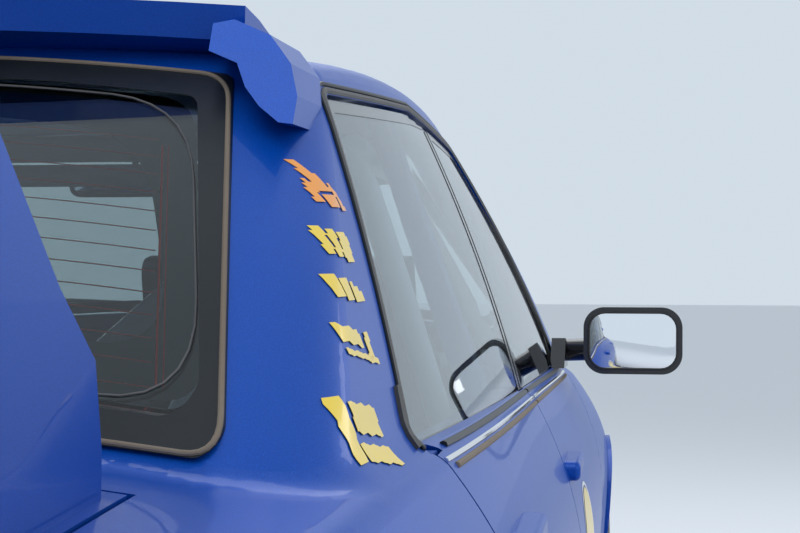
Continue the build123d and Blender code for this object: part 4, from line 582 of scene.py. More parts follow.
def round_corners(middle, wide, high, radius, axis="X", arc=6):
    """The outline of a flat rectangle with round corners that faces along an axis."""
    flat = {"X": lambda u, v: Vector((0, u, v)), "Y": lambda u, v: Vector((u, 0, v)),
            "Z": lambda u, v: Vector((u, v, 0))}[axis]
    points = []
    for cu, cv, first in ((1, 1, 0), (-1, 1, 90), (-1, -1, 180), (1, -1, 270)):
        for k in range(arc + 1):
            turn = math.radians(first + 90 * k / arc)
            points.append(Vector(middle) + flat(cu * (wide / 2 - radius) + radius * math.cos(turn),
                                                cv * (high / 2 - radius) + radius * math.sin(turn)))
    return points


def block(low, high, bevel=0.003, segments=2):
    """A block between two corners with its edges rounded."""
    size = [b - a for a, b in zip(low, high)]
    bpy.ops.mesh.primitive_cube_add(size=1, location=[(a + b) / 2 for a, b in zip(low, high)])
    piece = bpy.context.object
    piece.scale = size
    bpy.ops.object.transform_apply(location=True, rotation=True, scale=True)
    add_round(piece, bevel, segments)
    apply_modifiers(piece)
    return piece


def knob(place, radius, length, axis="X", bevel=0.002, vertices=24):
    """A short round piece along an axis with its rims rounded."""
    turn = {"X": (0, math.pi / 2, 0), "Y": (math.pi / 2, 0, 0), "Z": (0, 0, 0)}[axis]
    bpy.ops.mesh.primitive_cylinder_add(vertices=vertices, radius=radius, depth=length, location=place, rotation=turn)
    piece = bpy.context.object
    only(piece)
    bpy.ops.object.transform_apply(location=True, rotation=True, scale=True)
    add_round(piece, bevel, by_angle=True)
    apply_modifiers(piece)
    return piece


def mirrored(piece):
    """A copy on the other side of the car, with its own mesh."""
    only(piece)
    bpy.ops.object.duplicate()
    twin = bpy.context.object
    for vertex in twin.data.vertices:
        vertex.co.y = -vertex.co.y
    bpy.ops.object.mode_set(mode="EDIT")
    bpy.ops.mesh.select_all(action="SELECT")
    bpy.ops.mesh.flip_normals()
    bpy.ops.object.mode_set(mode="OBJECT")
    return twin


SIDES = (("left", 1), ("right", -1))
# Flat pieces for a side start beside the car, past its skin, and are pressed inwards from there
BESIDE = 1.1

# %% [markdown]
# ## Rear glass
# A heated rear screen carries printed work on its inner face: a wide black band that hides the glue, a grid of thin
# red-brown wires and a bus bar at each end of them. Outside lies a broad rubber moulding with a worn outer bead. The
# band and wires are pressed on to the real curved glass, so they follow it and stay thin.

# %% Screen outlines
REAR_LOW, REAR_HIGH, CROWN = (0.592, 1.008), (0.478, 1.296), 0.036
# Places along the car from which a flat piece is pressed on to the rear glass: from inside and from behind
IN_CABIN, BEHIND = -0.6, -1.8


def screen_loop(low, high, inset, radius, edge=22, arc=7):
    """The outline of a screen seen along the car, drawn in by an inset. Gives pairs of y and z."""
    (a, b), (c, d) = low, high
    a, b, c, d = a - inset, b + inset, c - inset, d - inset
    sides = (lambda t: (2 * a * t - a, b + CROWN * (1 - (2 * t - 1) ** 2)), lambda t: (a + (c - a) * t, b + (d - b) * t),
             lambda t: (c - 2 * c * t, d + CROWN * (1 - (2 * t - 1) ** 2)), lambda t: ((a - c) * -t - c, d + (b - d) * t))
    lengths = (2 * a, math.hypot(a - c, d - b), 2 * c, math.hypot(a - c, d - b))
    loop = []
    for i in range(4):
        j = (i + 1) % 4
        cut, after = radius / lengths[i], radius / lengths[j]
        loop += [sides[i](cut + (1 - 2 * cut) * k / edge) for k in range(edge + 1)]
        p, corner, q = sides[i](1 - cut), sides[i](1), sides[j](after)
        for k in range(1, arc):
            t = k / arc
            loop.append(tuple(u * (1 - t) ** 2 + v * 2 * t * (1 - t) + w * t * t for u, v, w in zip(p, corner, q)))
    return loop


def along_x(loop, x):
    """Pairs of y and z as points at one x."""
    return [Vector((x, y, z)) for y, z in loop]


def screen_band(name, low, high, insets, radii, start, node):
    """A flat printed band on a screen between two insets."""
    outer = along_x(screen_loop(low, high, insets[0], radii[0]), start)
    inner = along_x(screen_loop(low, high, insets[1], radii[1]), start)
    settle(strip(outer, inner, node, "X", False, closed=True), name, "shell", frit_black, 60)


# %% Band, wires and bus bars on the rear glass
def rear_half(z):
    """Half the width of the rear glass at a height."""
    return 0.592 - 0.396 * (z - 1.008)


screen_band("rear_glass_band", REAR_LOW, REAR_HIGH, (0.006, 0.044), (0.042, 0.08), IN_CABIN, "rear_window")
wires = []
for i in range(13):
    z = 1.246 - 0.0182 * i
    half = rear_half(z) - 0.046
    line = [Vector((IN_CABIN, -half + 2 * half * k / 40, z + 0.03 * (1 - (k / 20 - 1) ** 2))) for k in range(41)]
    wires.append(bead(line, 0.0006, "rear_window", "X", False, 0.0006, sides=1))
settle(join(wires), "rear_glass_wires", "shell", heater_red)
bars = []
for way in (-1, 1):
    for step, radius in ((0, 0.0012), (0.006, 0.0008)):
        heights = [1.028 + 0.0092 * k for k in range(24)]
        line = [Vector((IN_CABIN, way * (rear_half(z) - 0.042 + step), z)) for z in heights]
        bars.append(bead(line, radius, "rear_window", "X", False, 0.0008, sides=1))
settle(join(bars), "rear_glass_bus_bars", "shell", heater_red)
outer_bead = along_x(screen_loop(REAR_LOW, REAR_HIGH, -0.0235, 0.03), BEHIND)
outer_bead = bead(outer_bead, 0.0026, "rear_window_seal", "X", True, 0.0006, closed=True)
settle(outer_bead, "rear_seal_bead", "shell", brown_rubber)
lip = along_x(screen_loop(REAR_LOW, REAR_HIGH, 0.007, 0.09), BEHIND)
lip = bead(lip, 0.0012, "rear_window", "X", True, 0.0008, closed=True)
settle(lip, "rear_seal_lip", "shell", grey_rubber)

# %% [markdown]
# ## Windscreen
# The bonded windscreen has a narrow rubber round it, a black printed edge and two wipers parked on the cowl.

# %% Windscreen edge and rubber
SCREEN_LOW, SCREEN_HIGH, BEFORE_SCREEN = (0.655, 0.962), (0.5, 1.316), 1.6
screen_band("windscreen_band", SCREEN_LOW, SCREEN_HIGH, (0.008, 0.03), (0.075, 0.06), BEFORE_SCREEN, "windscreen")
rubber = along_x(screen_loop(SCREEN_LOW, SCREEN_HIGH, 0.008, 0.075), BEFORE_SCREEN)
rubber = bead(rubber, 0.004, "windscreen", "X", False, 0.001, closed=True)
settle(rubber, "windscreen_rubber", "shell", seal_rubber)


# %% Wipers
def wiper(name, pivot, tip, lift):
    """A wiper arm with its blade, lying low on the screen."""
    pivot, tip = Vector(pivot), Vector(tip)
    across = (tip - pivot).normalized()
    arm = [pivot, pivot.lerp(tip, 0.25) + Vector((0, 0, lift)), pivot.lerp(tip, 0.72) + Vector((0, 0, lift * 0.6)), tip]
    parts = [bead(spread(rounded(arm, 0.05)), 0.0055, sides=2), knob(pivot, 0.013, 0.022, "Z")]
    blade = [pivot.lerp(tip, t / 30) for t in range(10, 34)]
    parts.append(bead([p + Vector((0, 0, -0.001)) for p in blade], 0.004, "windscreen", "X", False, 0.004, sides=2))
    return settle(join(parts), name, "shell", trim_plastic)


wiper("wiper_right", (0.868, -0.5, 0.985), (0.83, 0.0, 1.03), 0.006)
wiper("wiper_left", (0.875, 0.04, 1.0), (0.81, 0.46, 1.025), 0.006)

# %% [markdown]
# ## Side windows
# The doors have no frames round their glass. On the body, a rubber runs round the whole opening; its grey colour is
# partly a painted reflection of the sky on black rubber, and a near-black bead along its outer edge is painted shade
# in the gap to the panel. On the glass, a black border hides the run. A black strip covers the post between the two
# panes, and three mouldings, of rubber, metal and brown rubber, close the belt under them.

# %% Window lines
WINDOW = [(0.64, 0.902), (0.135, 1.304), (-0.38, 1.332), (-0.93, 1.304), (-1.165, 0.955)]


def window_line(grow, way):
    """The top edge of the side glass from the mirror to the rear corner, moved out by a little."""
    a, b, c, d, e = WINDOW
    points = [(a[0] + grow * 0.8, a[1]), (b[0] + grow * 0.5, b[1] + grow), (c[0], c[1] + grow),
              (d[0] - grow, d[1] + grow), (e[0] - grow * 1.05, e[1])]
    return spread(rounded([Vector((x, way * BESIDE, z)) for x, z in points], 0.05), 0.015)


for side, way in SIDES:
    body = f"side_frame_{side}"
    outward = way < 0
    # A near-black bead along the outer edge of the rubber: painted shade of the gap between the rubber and the panel.
    lip = bead(window_line(0.016, way), 0.0026, body, "Y", outward, 0.0008, sides=2)
    settle(lip, f"window_gap_shade_{side}", "shell", seal_rubber)
    # The run is black rubber; its grey colour is partly a painted reflection of the sky.
    run = bead(window_line(0.009, way), 0.0045, body, "Y", outward, -0.0012, sides=2)
    settle(run, f"window_rubber_{side}", "shell", grey_rubber)



def glass_border(name, outer, inner, node, way, body):
    """The black border along the edge of a side pane, on its outer face."""
    edges = [[Vector((x, way * BESIDE, z)) for x, z in line] for line in (outer, inner)]
    band = strip(*edges, node, "Y", way < 0, 0.0006, 0.0006)
    return settle(band, name, body, gloss_plastic, 60)


def matched(points, inset):
    """A line of a window's edge with a second line beside it, as many points in each."""
    outer = rounded([Vector((x, z, 0)) for x, z in points], 0.045, 8)
    inner = []
    for i, p in enumerate(outer):
        a, b = outer[max(0, i - 1)], outer[min(len(outer) - 1, i + 1)]
        along = (b - a).normalized()
        inner.append(p + Vector((-along.y, along.x, 0)) * inset)
    dense = []
    for path in (outer, inner):
        fine = []
        for k in range(len(path) - 1):
            steps = max(1, int((outer[k + 1] - outer[k]).length / 0.03))
            fine += [path[k].lerp(path[k + 1], j / steps) for j in range(steps)]
        dense.append([(p.x, p.y) for p in fine + [path[-1]]])
    return dense


for side, way in SIDES:
    rear_edge, rear_inner = matched([(-0.226, 1.3325), (-0.38, 1.3305), (-0.928, 1.3025), (-1.16, 0.958)], 0.013)
    glass_border(f"rear_pane_border_{side}", rear_edge, rear_inner, f"rear_door_glass_{side}", way, f"rear_door_{side}")
    front_edge, front_inner = matched([(0.634, 0.905), (0.135, 1.3025), (-0.209, 1.3215)], 0.012)
    glass_border(f"front_pane_border_{side}", front_edge, front_inner, f"front_door_glass_{side}", way,
                 f"front_door_{side}")
    for body, x, wide in (("rear_door", -0.2245, -0.02), ("front_door", -0.2105, 0.018)):
        edge = [(x, 0.928 + 0.39 * k / 14) for k in range(15)]
        glass_border(f"{body}_post_strip_{side}", edge, [(px + wide, z) for px, z in edge], f"{body}_glass_{side}", way,
                     f"{body}_{side}")

# %% Belt mouldings
def belt(x):
    """Height of the belt line under the side glass."""
    return 0.9 + (0.7 - x) * 0.055 / 1.865


for side, way in SIDES:
    for body, front, back in (("front_door", 0.628, -0.208), ("rear_door", -0.227, -1.158)):
        xs = [front + (back - front) * k / 30 for k in range(31)]
        for part, radius, lower, material in (("rubber", 0.0045, 0.0035, seal_rubber), ("metal", 0.0035, 0.0125, chrome),
                                              ("foot", 0.0036, 0.0195, brown_rubber)):
            line = [Vector((x, way * BESIDE, belt(x) - lower)) for x in xs]
            settle(bead(line, radius, f"{body}_{side}", "Y", way < 0, -0.0006, sides=2), f"{body}_belt_{part}_{side}",
                   f"{body}_{side}", material)


# %% [markdown]
# ## Door mirrors
# Each housing is a rounded block with a flat back. On it lies a silvered glass with a thin rim, and a black sail
# panel covers the corner of the side glass where the stalk meets the door.

# %% Mirror glass and sail
for side, way in SIDES:
    centre = (0.4838, way * 0.905, 0.962)
    glass_face = plate(round_corners(centre, 0.166, 0.106, 0.03), 0.0022, 0.0006)
    settle(glass_face, f"mirror_glass_{side}", f"front_door_{side}", mirror_glass)
    rim_line = round_corners((0.4842, way * 0.905, 0.962), 0.169, 0.109, 0.0315)
    settle(bead(rim_line, 0.0026, closed=True), f"mirror_rim_{side}", f"front_door_{side}", trim_plastic)
    sail = [(0.636, 0.906), (0.53, 0.909), (0.548, 0.968)]
    sheet = patch(sail, way * BESIDE, f"front_door_glass_{side}", "Y", way < 0, 0.0016, 0.012, 0.0016)
    settle(sheet, f"mirror_sail_{side}", f"front_door_{side}", trim_plastic)

# %% [markdown]
# ## Wheels and tyres
# A gravel tyre is a ring of square blocks with deep gaps between them. The solid model's tyre is a plain ring, so a
# dressed tyre takes its place: a section spun round the axle, with three rows of blocks that end exactly at the
# same radius. A tyre and a set of nuts are made for the left of each axle and mirrored to the right.

# %% Tyre
AXLES = (("front", 1.33), ("rear", -1.19))
TYRE_R, WHEEL_Y, SPINS = 0.306, 0.735, 96


def ring_of(section, place, turns):
    """A closed section of axial place and radius spun about an axle along Y."""
    bpy.ops.mesh.primitive_circle_add(vertices=len(section), radius=0.1)
    ring = bpy.context.object
    for vertex, (out, radius) in zip(ring.data.vertices, section):
        vertex.co = (place[0], place[1] + out, place[2] + radius)
    bpy.ops.object.mode_set(mode="EDIT")
    bpy.ops.mesh.select_all(action="SELECT")
    bpy.ops.mesh.spin(steps=turns, angle=math.tau, center=place, axis=(0, 1, 0))
    bpy.ops.mesh.select_all(action="SELECT")
    bpy.ops.mesh.remove_doubles(threshold=0.00002)
    bpy.ops.mesh.normals_make_consistent(inside=False)
    bpy.ops.object.mode_set(mode="OBJECT")
    return ring


def dressed_tyre(x):
    """A left tyre: carcass, two sidewall ribs and three rows of blocks."""
    place = (x, WHEEL_Y, TYRE_R)
    carcass = [(-0.0927, 0.2035), (-0.0927, 0.214), (-0.098, 0.226), (-0.1, 0.228), (-0.1015, 0.246), (-0.1028, 0.25),
               (-0.1015, 0.262), (-0.098, 0.28), (-0.094, 0.2905), (-0.088, 0.2975), (-0.03, 0.2985), (0.03, 0.2985),
               (0.088, 0.2975), (0.094, 0.2905), (0.098, 0.28), (0.1015, 0.262), (0.1028, 0.25), (0.1015, 0.246),
               (0.1, 0.228), (0.098, 0.226), (0.0927, 0.214), (0.0927, 0.2035), (0.08, 0.206), (0.088, 0.24),
               (0.084, 0.285), (-0.084, 0.285), (-0.088, 0.24), (-0.08, 0.206)]
    parts = [ring_of(carcass, place, SPINS)]
    bpy.ops.mesh.primitive_cube_add(size=1)
    block = bpy.context.object
    block.scale = (0.03, 0.046, 0.012)
    bpy.ops.object.transform_apply(location=True, rotation=True, scale=True)
    add_round(block, 0.0025, 1)
    apply_modifiers(block)
    corners = [v.co.copy() for v in block.data.vertices]
    for row, (out, count, phase) in enumerate(((-0.063, 44, 0.0), (0.0, 44, 0.5), (0.063, 44, 0.0))):
        for k in range(count):
            only(block)
            bpy.ops.object.duplicate()
            copy = bpy.context.object
            turn = math.tau * (k + phase) / count
            for vertex, c in zip(copy.data.vertices, corners):
                reach = 0.2985 + c.z + 0.0008
                reach = min(reach, math.sqrt(max(TYRE_R ** 2 - c.x ** 2, 0)) - 0.0002)
                vertex.co = (x + reach * math.sin(turn) + c.x * math.cos(turn), WHEEL_Y + out + c.y,
                             TYRE_R + reach * math.cos(turn) - c.x * math.sin(turn))
            parts.append(copy)
    only(block)
    bpy.ops.object.delete()
    return join(parts)


def wheel_nuts(x):
    """Five nuts on a left rim."""
    face = WHEEL_Y + 0.08
    parts = [knob((x + 0.05 * math.sin(math.tau * k / 5), face + 0.004, TYRE_R + 0.05 * math.cos(math.tau * k / 5)), 0.0105,
                  0.016, "Y", 0.0015, 6) for k in range(5)]
    return join(parts)


for end, x in AXLES:
    left = dressed_tyre(x)
    right = mirrored(left)
    for piece, side in ((left, "left"), (right, "right")):
        settle(piece, f"tread_tyre_{end}_{side}", f"wheel_{end}_{side}", tyre_rubber, 40)
        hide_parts(f"tyre_{end}_{side}")
    nuts = wheel_nuts(x)
    for piece, side in ((nuts, "left"), (mirrored(nuts), "right")):
        settle(piece, f"wheel_nuts_{end}_{side}", f"wheel_{end}_{side}", steel)
    cap = knob((x, WHEEL_Y + 0.084, TYRE_R), 0.027, 0.012, "Y", 0.004, 32)
    for piece, side in ((cap, "left"), (mirrored(cap), "right")):
        settle(piece, f"centre_cap_{end}_{side}", f"wheel_{end}_{side}", gloss_plastic)
    valve = knob((x + 0.12, WHEEL_Y + 0.088, TYRE_R + 0.142), 0.004, 0.03, "Y", 0.001, 12)
    for piece, side in ((valve, "left"), (mirrored(valve), "right")):
        settle(piece, f"tyre_valve_{end}_{side}", f"wheel_{end}_{side}", trim_plastic)
print("tyres with", 3 * 44, "blocks each")



# %% [markdown]
# ## Marks on the paint
# Coloured film is cut to plain shapes and laid on the rear pillars and front doors. Each mark is a small set of
# convex shapes in a unit square, and each shape becomes a fine grid that follows the curved panel.

# %% Marks on the rear pillars and doors
def slanted(u, wide, lean=0.14):
    """A leaning bar in the unit square."""
    return [(u, 0), (u + wide, 0), (u + wide + lean, 1), (u + lean, 1)]


def dot(u, v, radius, count=14, squash=1.0):
    """A round spot in the unit square."""
    return [(u + radius * squash * math.cos(math.tau * k / count), v + radius * math.sin(math.tau * k / count))
            for k in range(count)]


MARKS = (
    ("rays", (-1.142, 1.188), (0.062, 0.052), ([(0.3, 0.3), (0.7, 0.3), (0.5, 0.95)], [(0, 0), (0.22, 0), (0.3, 0.55)],
                                              [(0.78, 0), (1, 0), (0.7, 0.55)], [(0.3, 0), (0.7, 0), (0.7, 0.16), (0.3, 0.16)]), True),
    ("bars", (-1.196, 1.138), (0.074, 0.026), (slanted(0, 0.16), slanted(0.24, 0.16), slanted(0.48, 0.36)), False),
    ("spots", (-1.236, 1.098), (0.084, 0.023), (dot(0.12, 0.5, 0.44, 14, 0.3), dot(0.42, 0.5, 0.44, 14, 0.3),
                                               [(0.62, 0.1), (1, 0.3), (1, 0.7), (0.62, 0.9)]), False),
    ("line", (-1.282, 1.05), (0.096, 0.027), ([(0, 0), (1, 0), (1, 0.2), (0, 0.2)], [(0, 0.42), (0.62, 0.42), (0.55, 1), (0, 1)],
                                             slanted(0.7, 0.14, 0.1)), False),
    ("wedge", (-1.385, 0.972), (0.118, 0.05), ([(0, 0), (0.2, 0), (0.3, 1), (0.1, 1)], [(0.26, 0), (0.86, 0), (0.9, 0.3), (0.3, 0.3)],
                                              [(0.34, 0.48), (0.94, 0.48), (1, 1), (0.4, 1)]), False),
)
for side, way in SIDES:
    for name, (x, z), (wide, high), shapes, warm in MARKS:
        parts = []
        for shape in shapes:
            corners = [(x + u * wide, z + v * high - u * wide * 0.16) for u, v in shape]
            parts.append(patch(corners, way * BESIDE, f"side_frame_{side}", "Y", way < 0, 0.0003, 0.004, 0.0014))
        settle(join(parts), f"mark_{name}_{side}", "shell", orange_vinyl if warm else yellow_vinyl, 60)
    plate_spots = [patch([(0.045 + 0.14 * u, 0.6 + 0.14 * v) for u, v in dot(0, 0, 1, 24)], way * BESIDE, f"front_door_{side}",
                         "Y", way < 0, 0.0003, 0.014, 0.0012)]
    settle(plate_spots[0], f"door_roundel_{side}", f"front_door_{side}", yellow_vinyl, 60)
    ring = [Vector((0.045 + 0.15 * math.cos(math.tau * k / 48), way * BESIDE, 0.6 + 0.15 * math.sin(math.tau * k / 48)))
            for k in range(48)]
    inner = [Vector((0.045 + 0.144 * math.cos(math.tau * k / 48), way * BESIDE, 0.6 + 0.144 * math.sin(math.tau * k / 48)))
             for k in range(48)]
    settle(strip(ring, inner, f"front_door_{side}", "Y", way < 0, 0.0006, 0.0004, True), f"door_roundel_line_{side}",
           f"front_door_{side}", white_vinyl, 60)
    cap = patch([(-1.2, 0.958), (-1.172, 0.958), (-1.146, 1.008), (-1.158, 1.012)], way * BESIDE, f"side_frame_{side}", "Y",
                way < 0, 0.006, 0.006, 0.001)
    settle(cap, f"window_end_cap_{side}", "shell", trim_plastic, 50)
print("marks on each side:", len(MARKS) + 1)

# %% [markdown]
# ## Lamps
# Behind each clear lens sit polished bowls with a bulb. Rear lamps carry a reflector plate and bulbs behind the red
# lens, and fine ribs lie on its face.

# %% Bowls and bulbs
def bowl(place, radius, deep, way=1):
    """A polished reflector that opens along X."""
    wall = [(0.0, 0.012), (deep * 0.25, radius * 0.55), (deep * 0.6, radius * 0.84), (deep, radius),
            (deep, radius + 0.003), (deep * 0.55, radius * 0.84 + 0.003), (deep * 0.2, radius * 0.55 + 0.002), (-0.003, 0.014)]
    bpy.ops.mesh.primitive_circle_add(vertices=len(wall), radius=0.1)
    ring = bpy.context.object
    for vertex, (x, r) in zip(ring.data.vertices, wall):
        vertex.co = (place[0] + way * x, place[1], place[2] + r)
    bpy.ops.object.mode_set(mode="EDIT")
    bpy.ops.mesh.select_all(action="SELECT")
    bpy.ops.mesh.spin(steps=40, angle=math.tau, center=place, axis=(1, 0, 0))
    bpy.ops.mesh.select_all(action="SELECT")
    bpy.ops.mesh.remove_doubles(threshold=0.00002)
    bpy.ops.mesh.normals_make_consistent(inside=False)
    bpy.ops.object.mode_set(mode="OBJECT")
    return ring


for side, way in SIDES:
    bowls = [bowl((1.922, way * y, 0.634), 0.052, 0.044) for y in (0.47, 0.59)]
    settle(join(bowls), f"headlamp_bowls_{side}", "shell", chrome)
    bulbs = [knob((1.936, way * y, 0.634), 0.007, 0.036, "X", 0.003, 20) for y in (0.47, 0.59)]
    settle(join(bulbs), f"headlamp_bulbs_{side}", "shell", white_vinyl)
    turn_lamp = block((1.93, min(way * 0.652, way * 0.692), 0.6), (1.945, max(way * 0.652, way * 0.692), 0.668), 0.004)
    settle(turn_lamp, f"headlamp_turn_lamp_{side}", "shell", orange_vinyl)
    settle(bowl((1.918, way * 0.56, 0.32), 0.062, 0.034), f"fog_bowl_{side}", "shell", chrome)
    ring = [Vector((2.041, way * 0.56 + 0.069 * math.sin(math.tau * k / 40), 0.32 + 0.069 * math.cos(math.tau * k / 40)))
            for k in range(40)]
    settle(bead(ring, 0.0032, closed=True), f"fog_ring_{side}", "shell", trim_plastic)
    plate_low = (-2.012, min(way * 0.49, way * 0.64), 0.7)
    plate_high = (-2.006, max(way * 0.49, way * 0.64), 0.868)
    settle(block(plate_low, plate_high, 0.002), f"tail_lamp_plate_{side}", "shell", steel)
    tail_bulbs = [knob((-2.015, way * y, z), 0.009, 0.02, "X", 0.004, 20) for y in (0.53, 0.6) for z in (0.74, 0.82)]
    settle(join(tail_bulbs), f"tail_lamp_bulbs_{side}", "shell", orange_vinyl)
    ribs = []
    for z in (0.752, 0.812):
        line = [Vector((-2.3, way * (0.475 + 0.27 * k / 30), z)) for k in range(31)]
        ribs.append(bead(line, 0.0016, "tail_lamps", "X", True, 0.0002, sides=1))
    settle(join(ribs), f"tail_lamp_ribs_{side}", "shell", red_lens)
print("lamp pieces on each side: 8")

# %% [markdown]
# ## Ends of the car
# Blank number plates, a radiator behind the intake, the bolts of the mud flaps and the mouth of the tail
# pipe, with a near-black disc inside it as painted shade, finish the two ends.

# %% Plates, radiator, bolts and tail pipe
for name, node, x, positive, y, z in (("rear_plate", "boot_lid", -2.3, True, 0.25, 0.7), ("front_plate", "front_bumper", 2.3, False, 0.25, 0.492)):
    body = "boot_lid" if node == "boot_lid" else "shell"
    sheet = patch([(-y, z - 0.052), (y, z - 0.052), (y, z + 0.052), (-y, z + 0.052)], x, node, "X", positive, 0.002, 0.02, 0.0015)
    settle(sheet, name, body, white_vinyl, 60)
tubes = [block((1.864, -0.366, 0.306 + 0.0142 * k), (1.88, 0.366, 0.3105 + 0.0142 * k), 0.001, 1) for k in range(23)]
fins = [block((1.868, -0.366 + 0.0122 * k, 0.306), (1.876, -0.3645 + 0.0122 * k, 0.632), 0.0002, 1) for k in range(61)]
settle(join(tubes + fins), "radiator_core", "shell", cast_alloy)
tank_points = [(1.872, -0.36, 0.636), (1.872, 0.36, 0.636)]
settle(bead([Vector(p) for p in tank_points], 0.009, sides=3), "radiator_tank", "shell", dark_steel)
for side, way in SIDES:
    bolts = []
    for x in (0.89, -1.55):
        for y in (0.61, 0.6775, 0.745):
            bolts.append(knob((x - 0.001, way * y, 0.183), 0.0065, 0.006, "X", 0.0015, 6))
    settle(join(bolts), f"flap_bolts_{side}", "shell", steel)
settle(bead([Vector((-2.1585, -0.52 + 0.0395 * math.sin(math.tau * k / 32), 0.232 + 0.0395 * math.cos(math.tau * k / 32)))
             for k in range(32)], 0.0025, closed=True), "tail_pipe_lip", "shell", chrome)
# A near-black disc inside the pipe: painted shade of the pipe's inside.
settle(plate([Vector((-2.06, -0.52 + 0.037 * math.sin(math.tau * k / 32), 0.232 + 0.037 * math.cos(math.tau * k / 32)))
              for k in range(32)], 0.002, 0), "tail_pipe_shade_disc", "shell", frit_black)


# %% [markdown]
# ## Cabin
# Each bucket seat gets two cloth pads and a harness. The dashboard gets its dials and vents, the doors flat trim
# panels with a pull strap, and the floor a lever, a hand brake and pedals.

# %% Seats and harness
def webbing(name, points, half):
    """A flat belt about 50 mm wide along points in a plane of equal y."""
    path = spread([Vector(p) for p in points], 0.03)
    left = [p + Vector((0, half, 0)) for p in path]
    right = [p - Vector((0, half, 0)) for p in path]
    return settle(strip(left, right, thick=0.0022), name, "shell", belt_web, 50)


for side, way in SIDES:
    y = way * 0.365
    base = block((0.0, y - 0.148, 0.35), (0.322, y + 0.148, 0.394), 0.016, 3)
    settle(base, f"seat_base_pad_{side}", "shell", pad_cloth, 60)
    outline = [(-0.122, 0.42), (-0.084, 0.43), (-0.114, 0.86), (-0.156, 1.09), (-0.186, 1.1), (-0.152, 0.86)]
    back = plate([Vector((x, y, z)) for x, z in outline], 0.286, 0.012)
    settle(back, f"seat_back_pad_{side}", "shell", pad_cloth, 60)
    for shift, tag in ((-0.07, "in"), (0.07, "out")):
        webbing(f"harness_{tag}_{side}", [(-0.15, y + shift, 1.07), (-0.109, y + shift * 0.9, 0.86), (-0.079, y + shift * 0.7, 0.52),
                                         (-0.05, y + shift * 0.6, 0.43), (0.06, y + shift * 0.3, 0.4)], 0.022)
    lap = []
    for k in range(15):
        t = k / 14
        lap.append(Vector((0.0 + 0.07 * math.sin(math.pi * t), y - 0.145 + 0.29 * t, 0.402 + 0.012 * math.sin(math.pi * t))))
    front = [p + Vector((0.022, 0, 0)) for p in lap]
    settle(strip(front, [p - Vector((0.022, 0, 0)) for p in lap], thick=0.0022), f"harness_lap_{side}", "shell", belt_web, 50)
    settle(knob((0.068, y, 0.416), 0.026, 0.012, "Z", 0.003, 32), f"harness_buckle_{side}", "shell", steel)

# %% Dials, vents and switches
dials = []
for y, z, r in ((-0.43, 0.872, 0.034), (-0.365, 0.876, 0.04), (-0.3, 0.872, 0.034)):
    dials.append(knob((0.4995, y, z), r, 0.006, "X", 0.0015, 40))
settle(join(dials), "dial_faces", "shell", white_vinyl)
rims = []
for y, z, r in ((-0.43, 0.872, 0.035), (-0.365, 0.876, 0.041), (-0.3, 0.872, 0.035)):
    rims.append(bead([Vector((0.496, y + r * math.sin(math.tau * k / 36), z + r * math.cos(math.tau * k / 36)))
                      for k in range(36)], 0.0026, closed=True, sides=2))
settle(join(rims), "dial_rims", "shell", chrome)
needles = []
for y, z, r, turn in ((-0.43, 0.872, 0.026, 0.7), (-0.365, 0.876, 0.032, -0.9), (-0.3, 0.872, 0.026, 0.2)):
    needles.append(bead([Vector((0.4955, y, z)), Vector((0.4955, y + r * math.sin(turn), z + r * math.cos(turn)))], 0.0014, sides=1))
settle(join(needles), "dial_needles", "shell", flap_rubber)
vents = []
for y in (-0.545, -0.13, 0.13, 0.545):
    frame_line = round_corners((0.502, y, 0.79), 0.078, 0.056, 0.01)
    vents.append(bead(frame_line, 0.0035, closed=True, sides=2))
    for k in range(5):
        vents.append(block((0.5, y - 0.036, 0.769 + 0.0105 * k), (0.506, y + 0.036, 0.7725 + 0.0105 * k), 0.0006, 1))
settle(join(vents), "dash_vents", "shell", gloss_plastic)
switches = [knob((0.512, -0.08 + 0.04 * k, 0.72), 0.009, 0.018, "X", 0.002, 20) for k in range(5)]
settle(join(switches), "dash_switches", "shell", steel)
shelf_line = [Vector((0.5, 0.2 + 0.34 * k / 12, 0.845)) for k in range(13)]
settle(bead(shelf_line, 0.004, sides=2), "dash_grab_rail", "shell", steel)

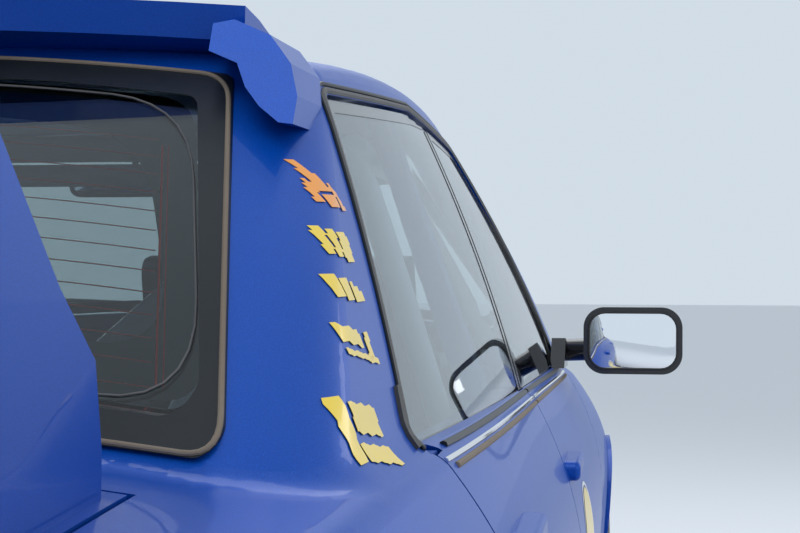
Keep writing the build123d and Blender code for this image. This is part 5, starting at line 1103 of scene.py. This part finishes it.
# %% Lever, hand brake and pedals
lever = bead(spread(rounded([Vector((0.2, 0, 0.345)), Vector((0.2, 0, 0.43)), Vector((0.17, 0, 0.585))], 0.05)), 0.007)
boot = [(0.0, 0.052), (0.02, 0.04), (0.045, 0.026), (0.07, 0.011)]
settle(join([lever, knob((0.168, 0, 0.6), 0.021, 0.04, "Z", 0.014, 28)]), "gear_lever", "shell", gloss_plastic)
folds = [bead([Vector((0.2 + r * math.sin(math.tau * k / 28), r * math.cos(math.tau * k / 28), 0.35 + z)) for k in range(28)],
              0.009, closed=True, sides=2) for z, r in boot]
settle(join(folds), "gear_lever_boot", "shell", matt_rubber)
brake = bead(spread([Vector((0.02, -0.09, 0.35)), Vector((0.06, -0.09, 0.43)), Vector((0.16, -0.09, 0.56))]), 0.011)
grip = bead([Vector((0.11, -0.09, 0.495)), Vector((0.162, -0.09, 0.563))], 0.0155)
settle(join([brake, grip]), "hand_brake", "shell", trim_plastic)
pedals = []
for y, wide in ((-0.47, 0.028), (-0.38, 0.032), (-0.29, 0.022)):
    pedals.append(bead(spread([Vector((0.72, y, 0.6)), Vector((0.68, y, 0.46)), Vector((0.64, y, 0.37))]), 0.007, sides=2))
    pedals.append(block((0.626, y - wide, 0.335), (0.638, y + wide, 0.4), 0.003))
settle(join(pedals), "pedals", "shell", steel)
rest = plate([Vector((0.66, -0.5, 0.24)), Vector((0.66, -0.24, 0.24)), Vector((0.5, -0.24, 0.221)), Vector((0.5, -0.5, 0.221))], 0.003)
settle(rest, "heel_plate", "shell", cast_alloy)

# %% Door trims and shelf
for side, way in SIDES:
    for body, low, high in (("front_door", -0.195, 0.66), ("rear_door", -0.79, -0.24)):
        middle = ((low + high) / 2, way * 0.6975, 0.6)
        panel = plate(round_corners(middle, high - low, 0.46, 0.05, "Y"), 0.003, 0.001)
        settle(panel, f"{body}_trim_{side}", f"{body}_{side}", pad_cloth, 40)
        pull_x = low + 0.12
        loop = [Vector((pull_x + 0.1 * k / 10, way * (0.696 - 0.018 * math.sin(math.pi * k / 10)), 0.74)) for k in range(11)]
        settle(bead(loop, 0.006, sides=2), f"{body}_pull_{side}", f"{body}_{side}", belt_web)
cloth = patch([(-1.46, -0.44), (-1.16, -0.42), (-1.16, -0.08), (-1.46, -0.06)], 1.2, "rear_structure", "Z", False, 0.003, 0.02, 0.002)
settle(cloth, "shelf_cloth", "shell", shelf_cloth, 50)
glass_line = plate(round_corners((0.1765, 0, 1.262), 0.228, 0.046, 0.02), 0.002)
settle(glass_line, "cabin_mirror_glass", "shell", mirror_glass)
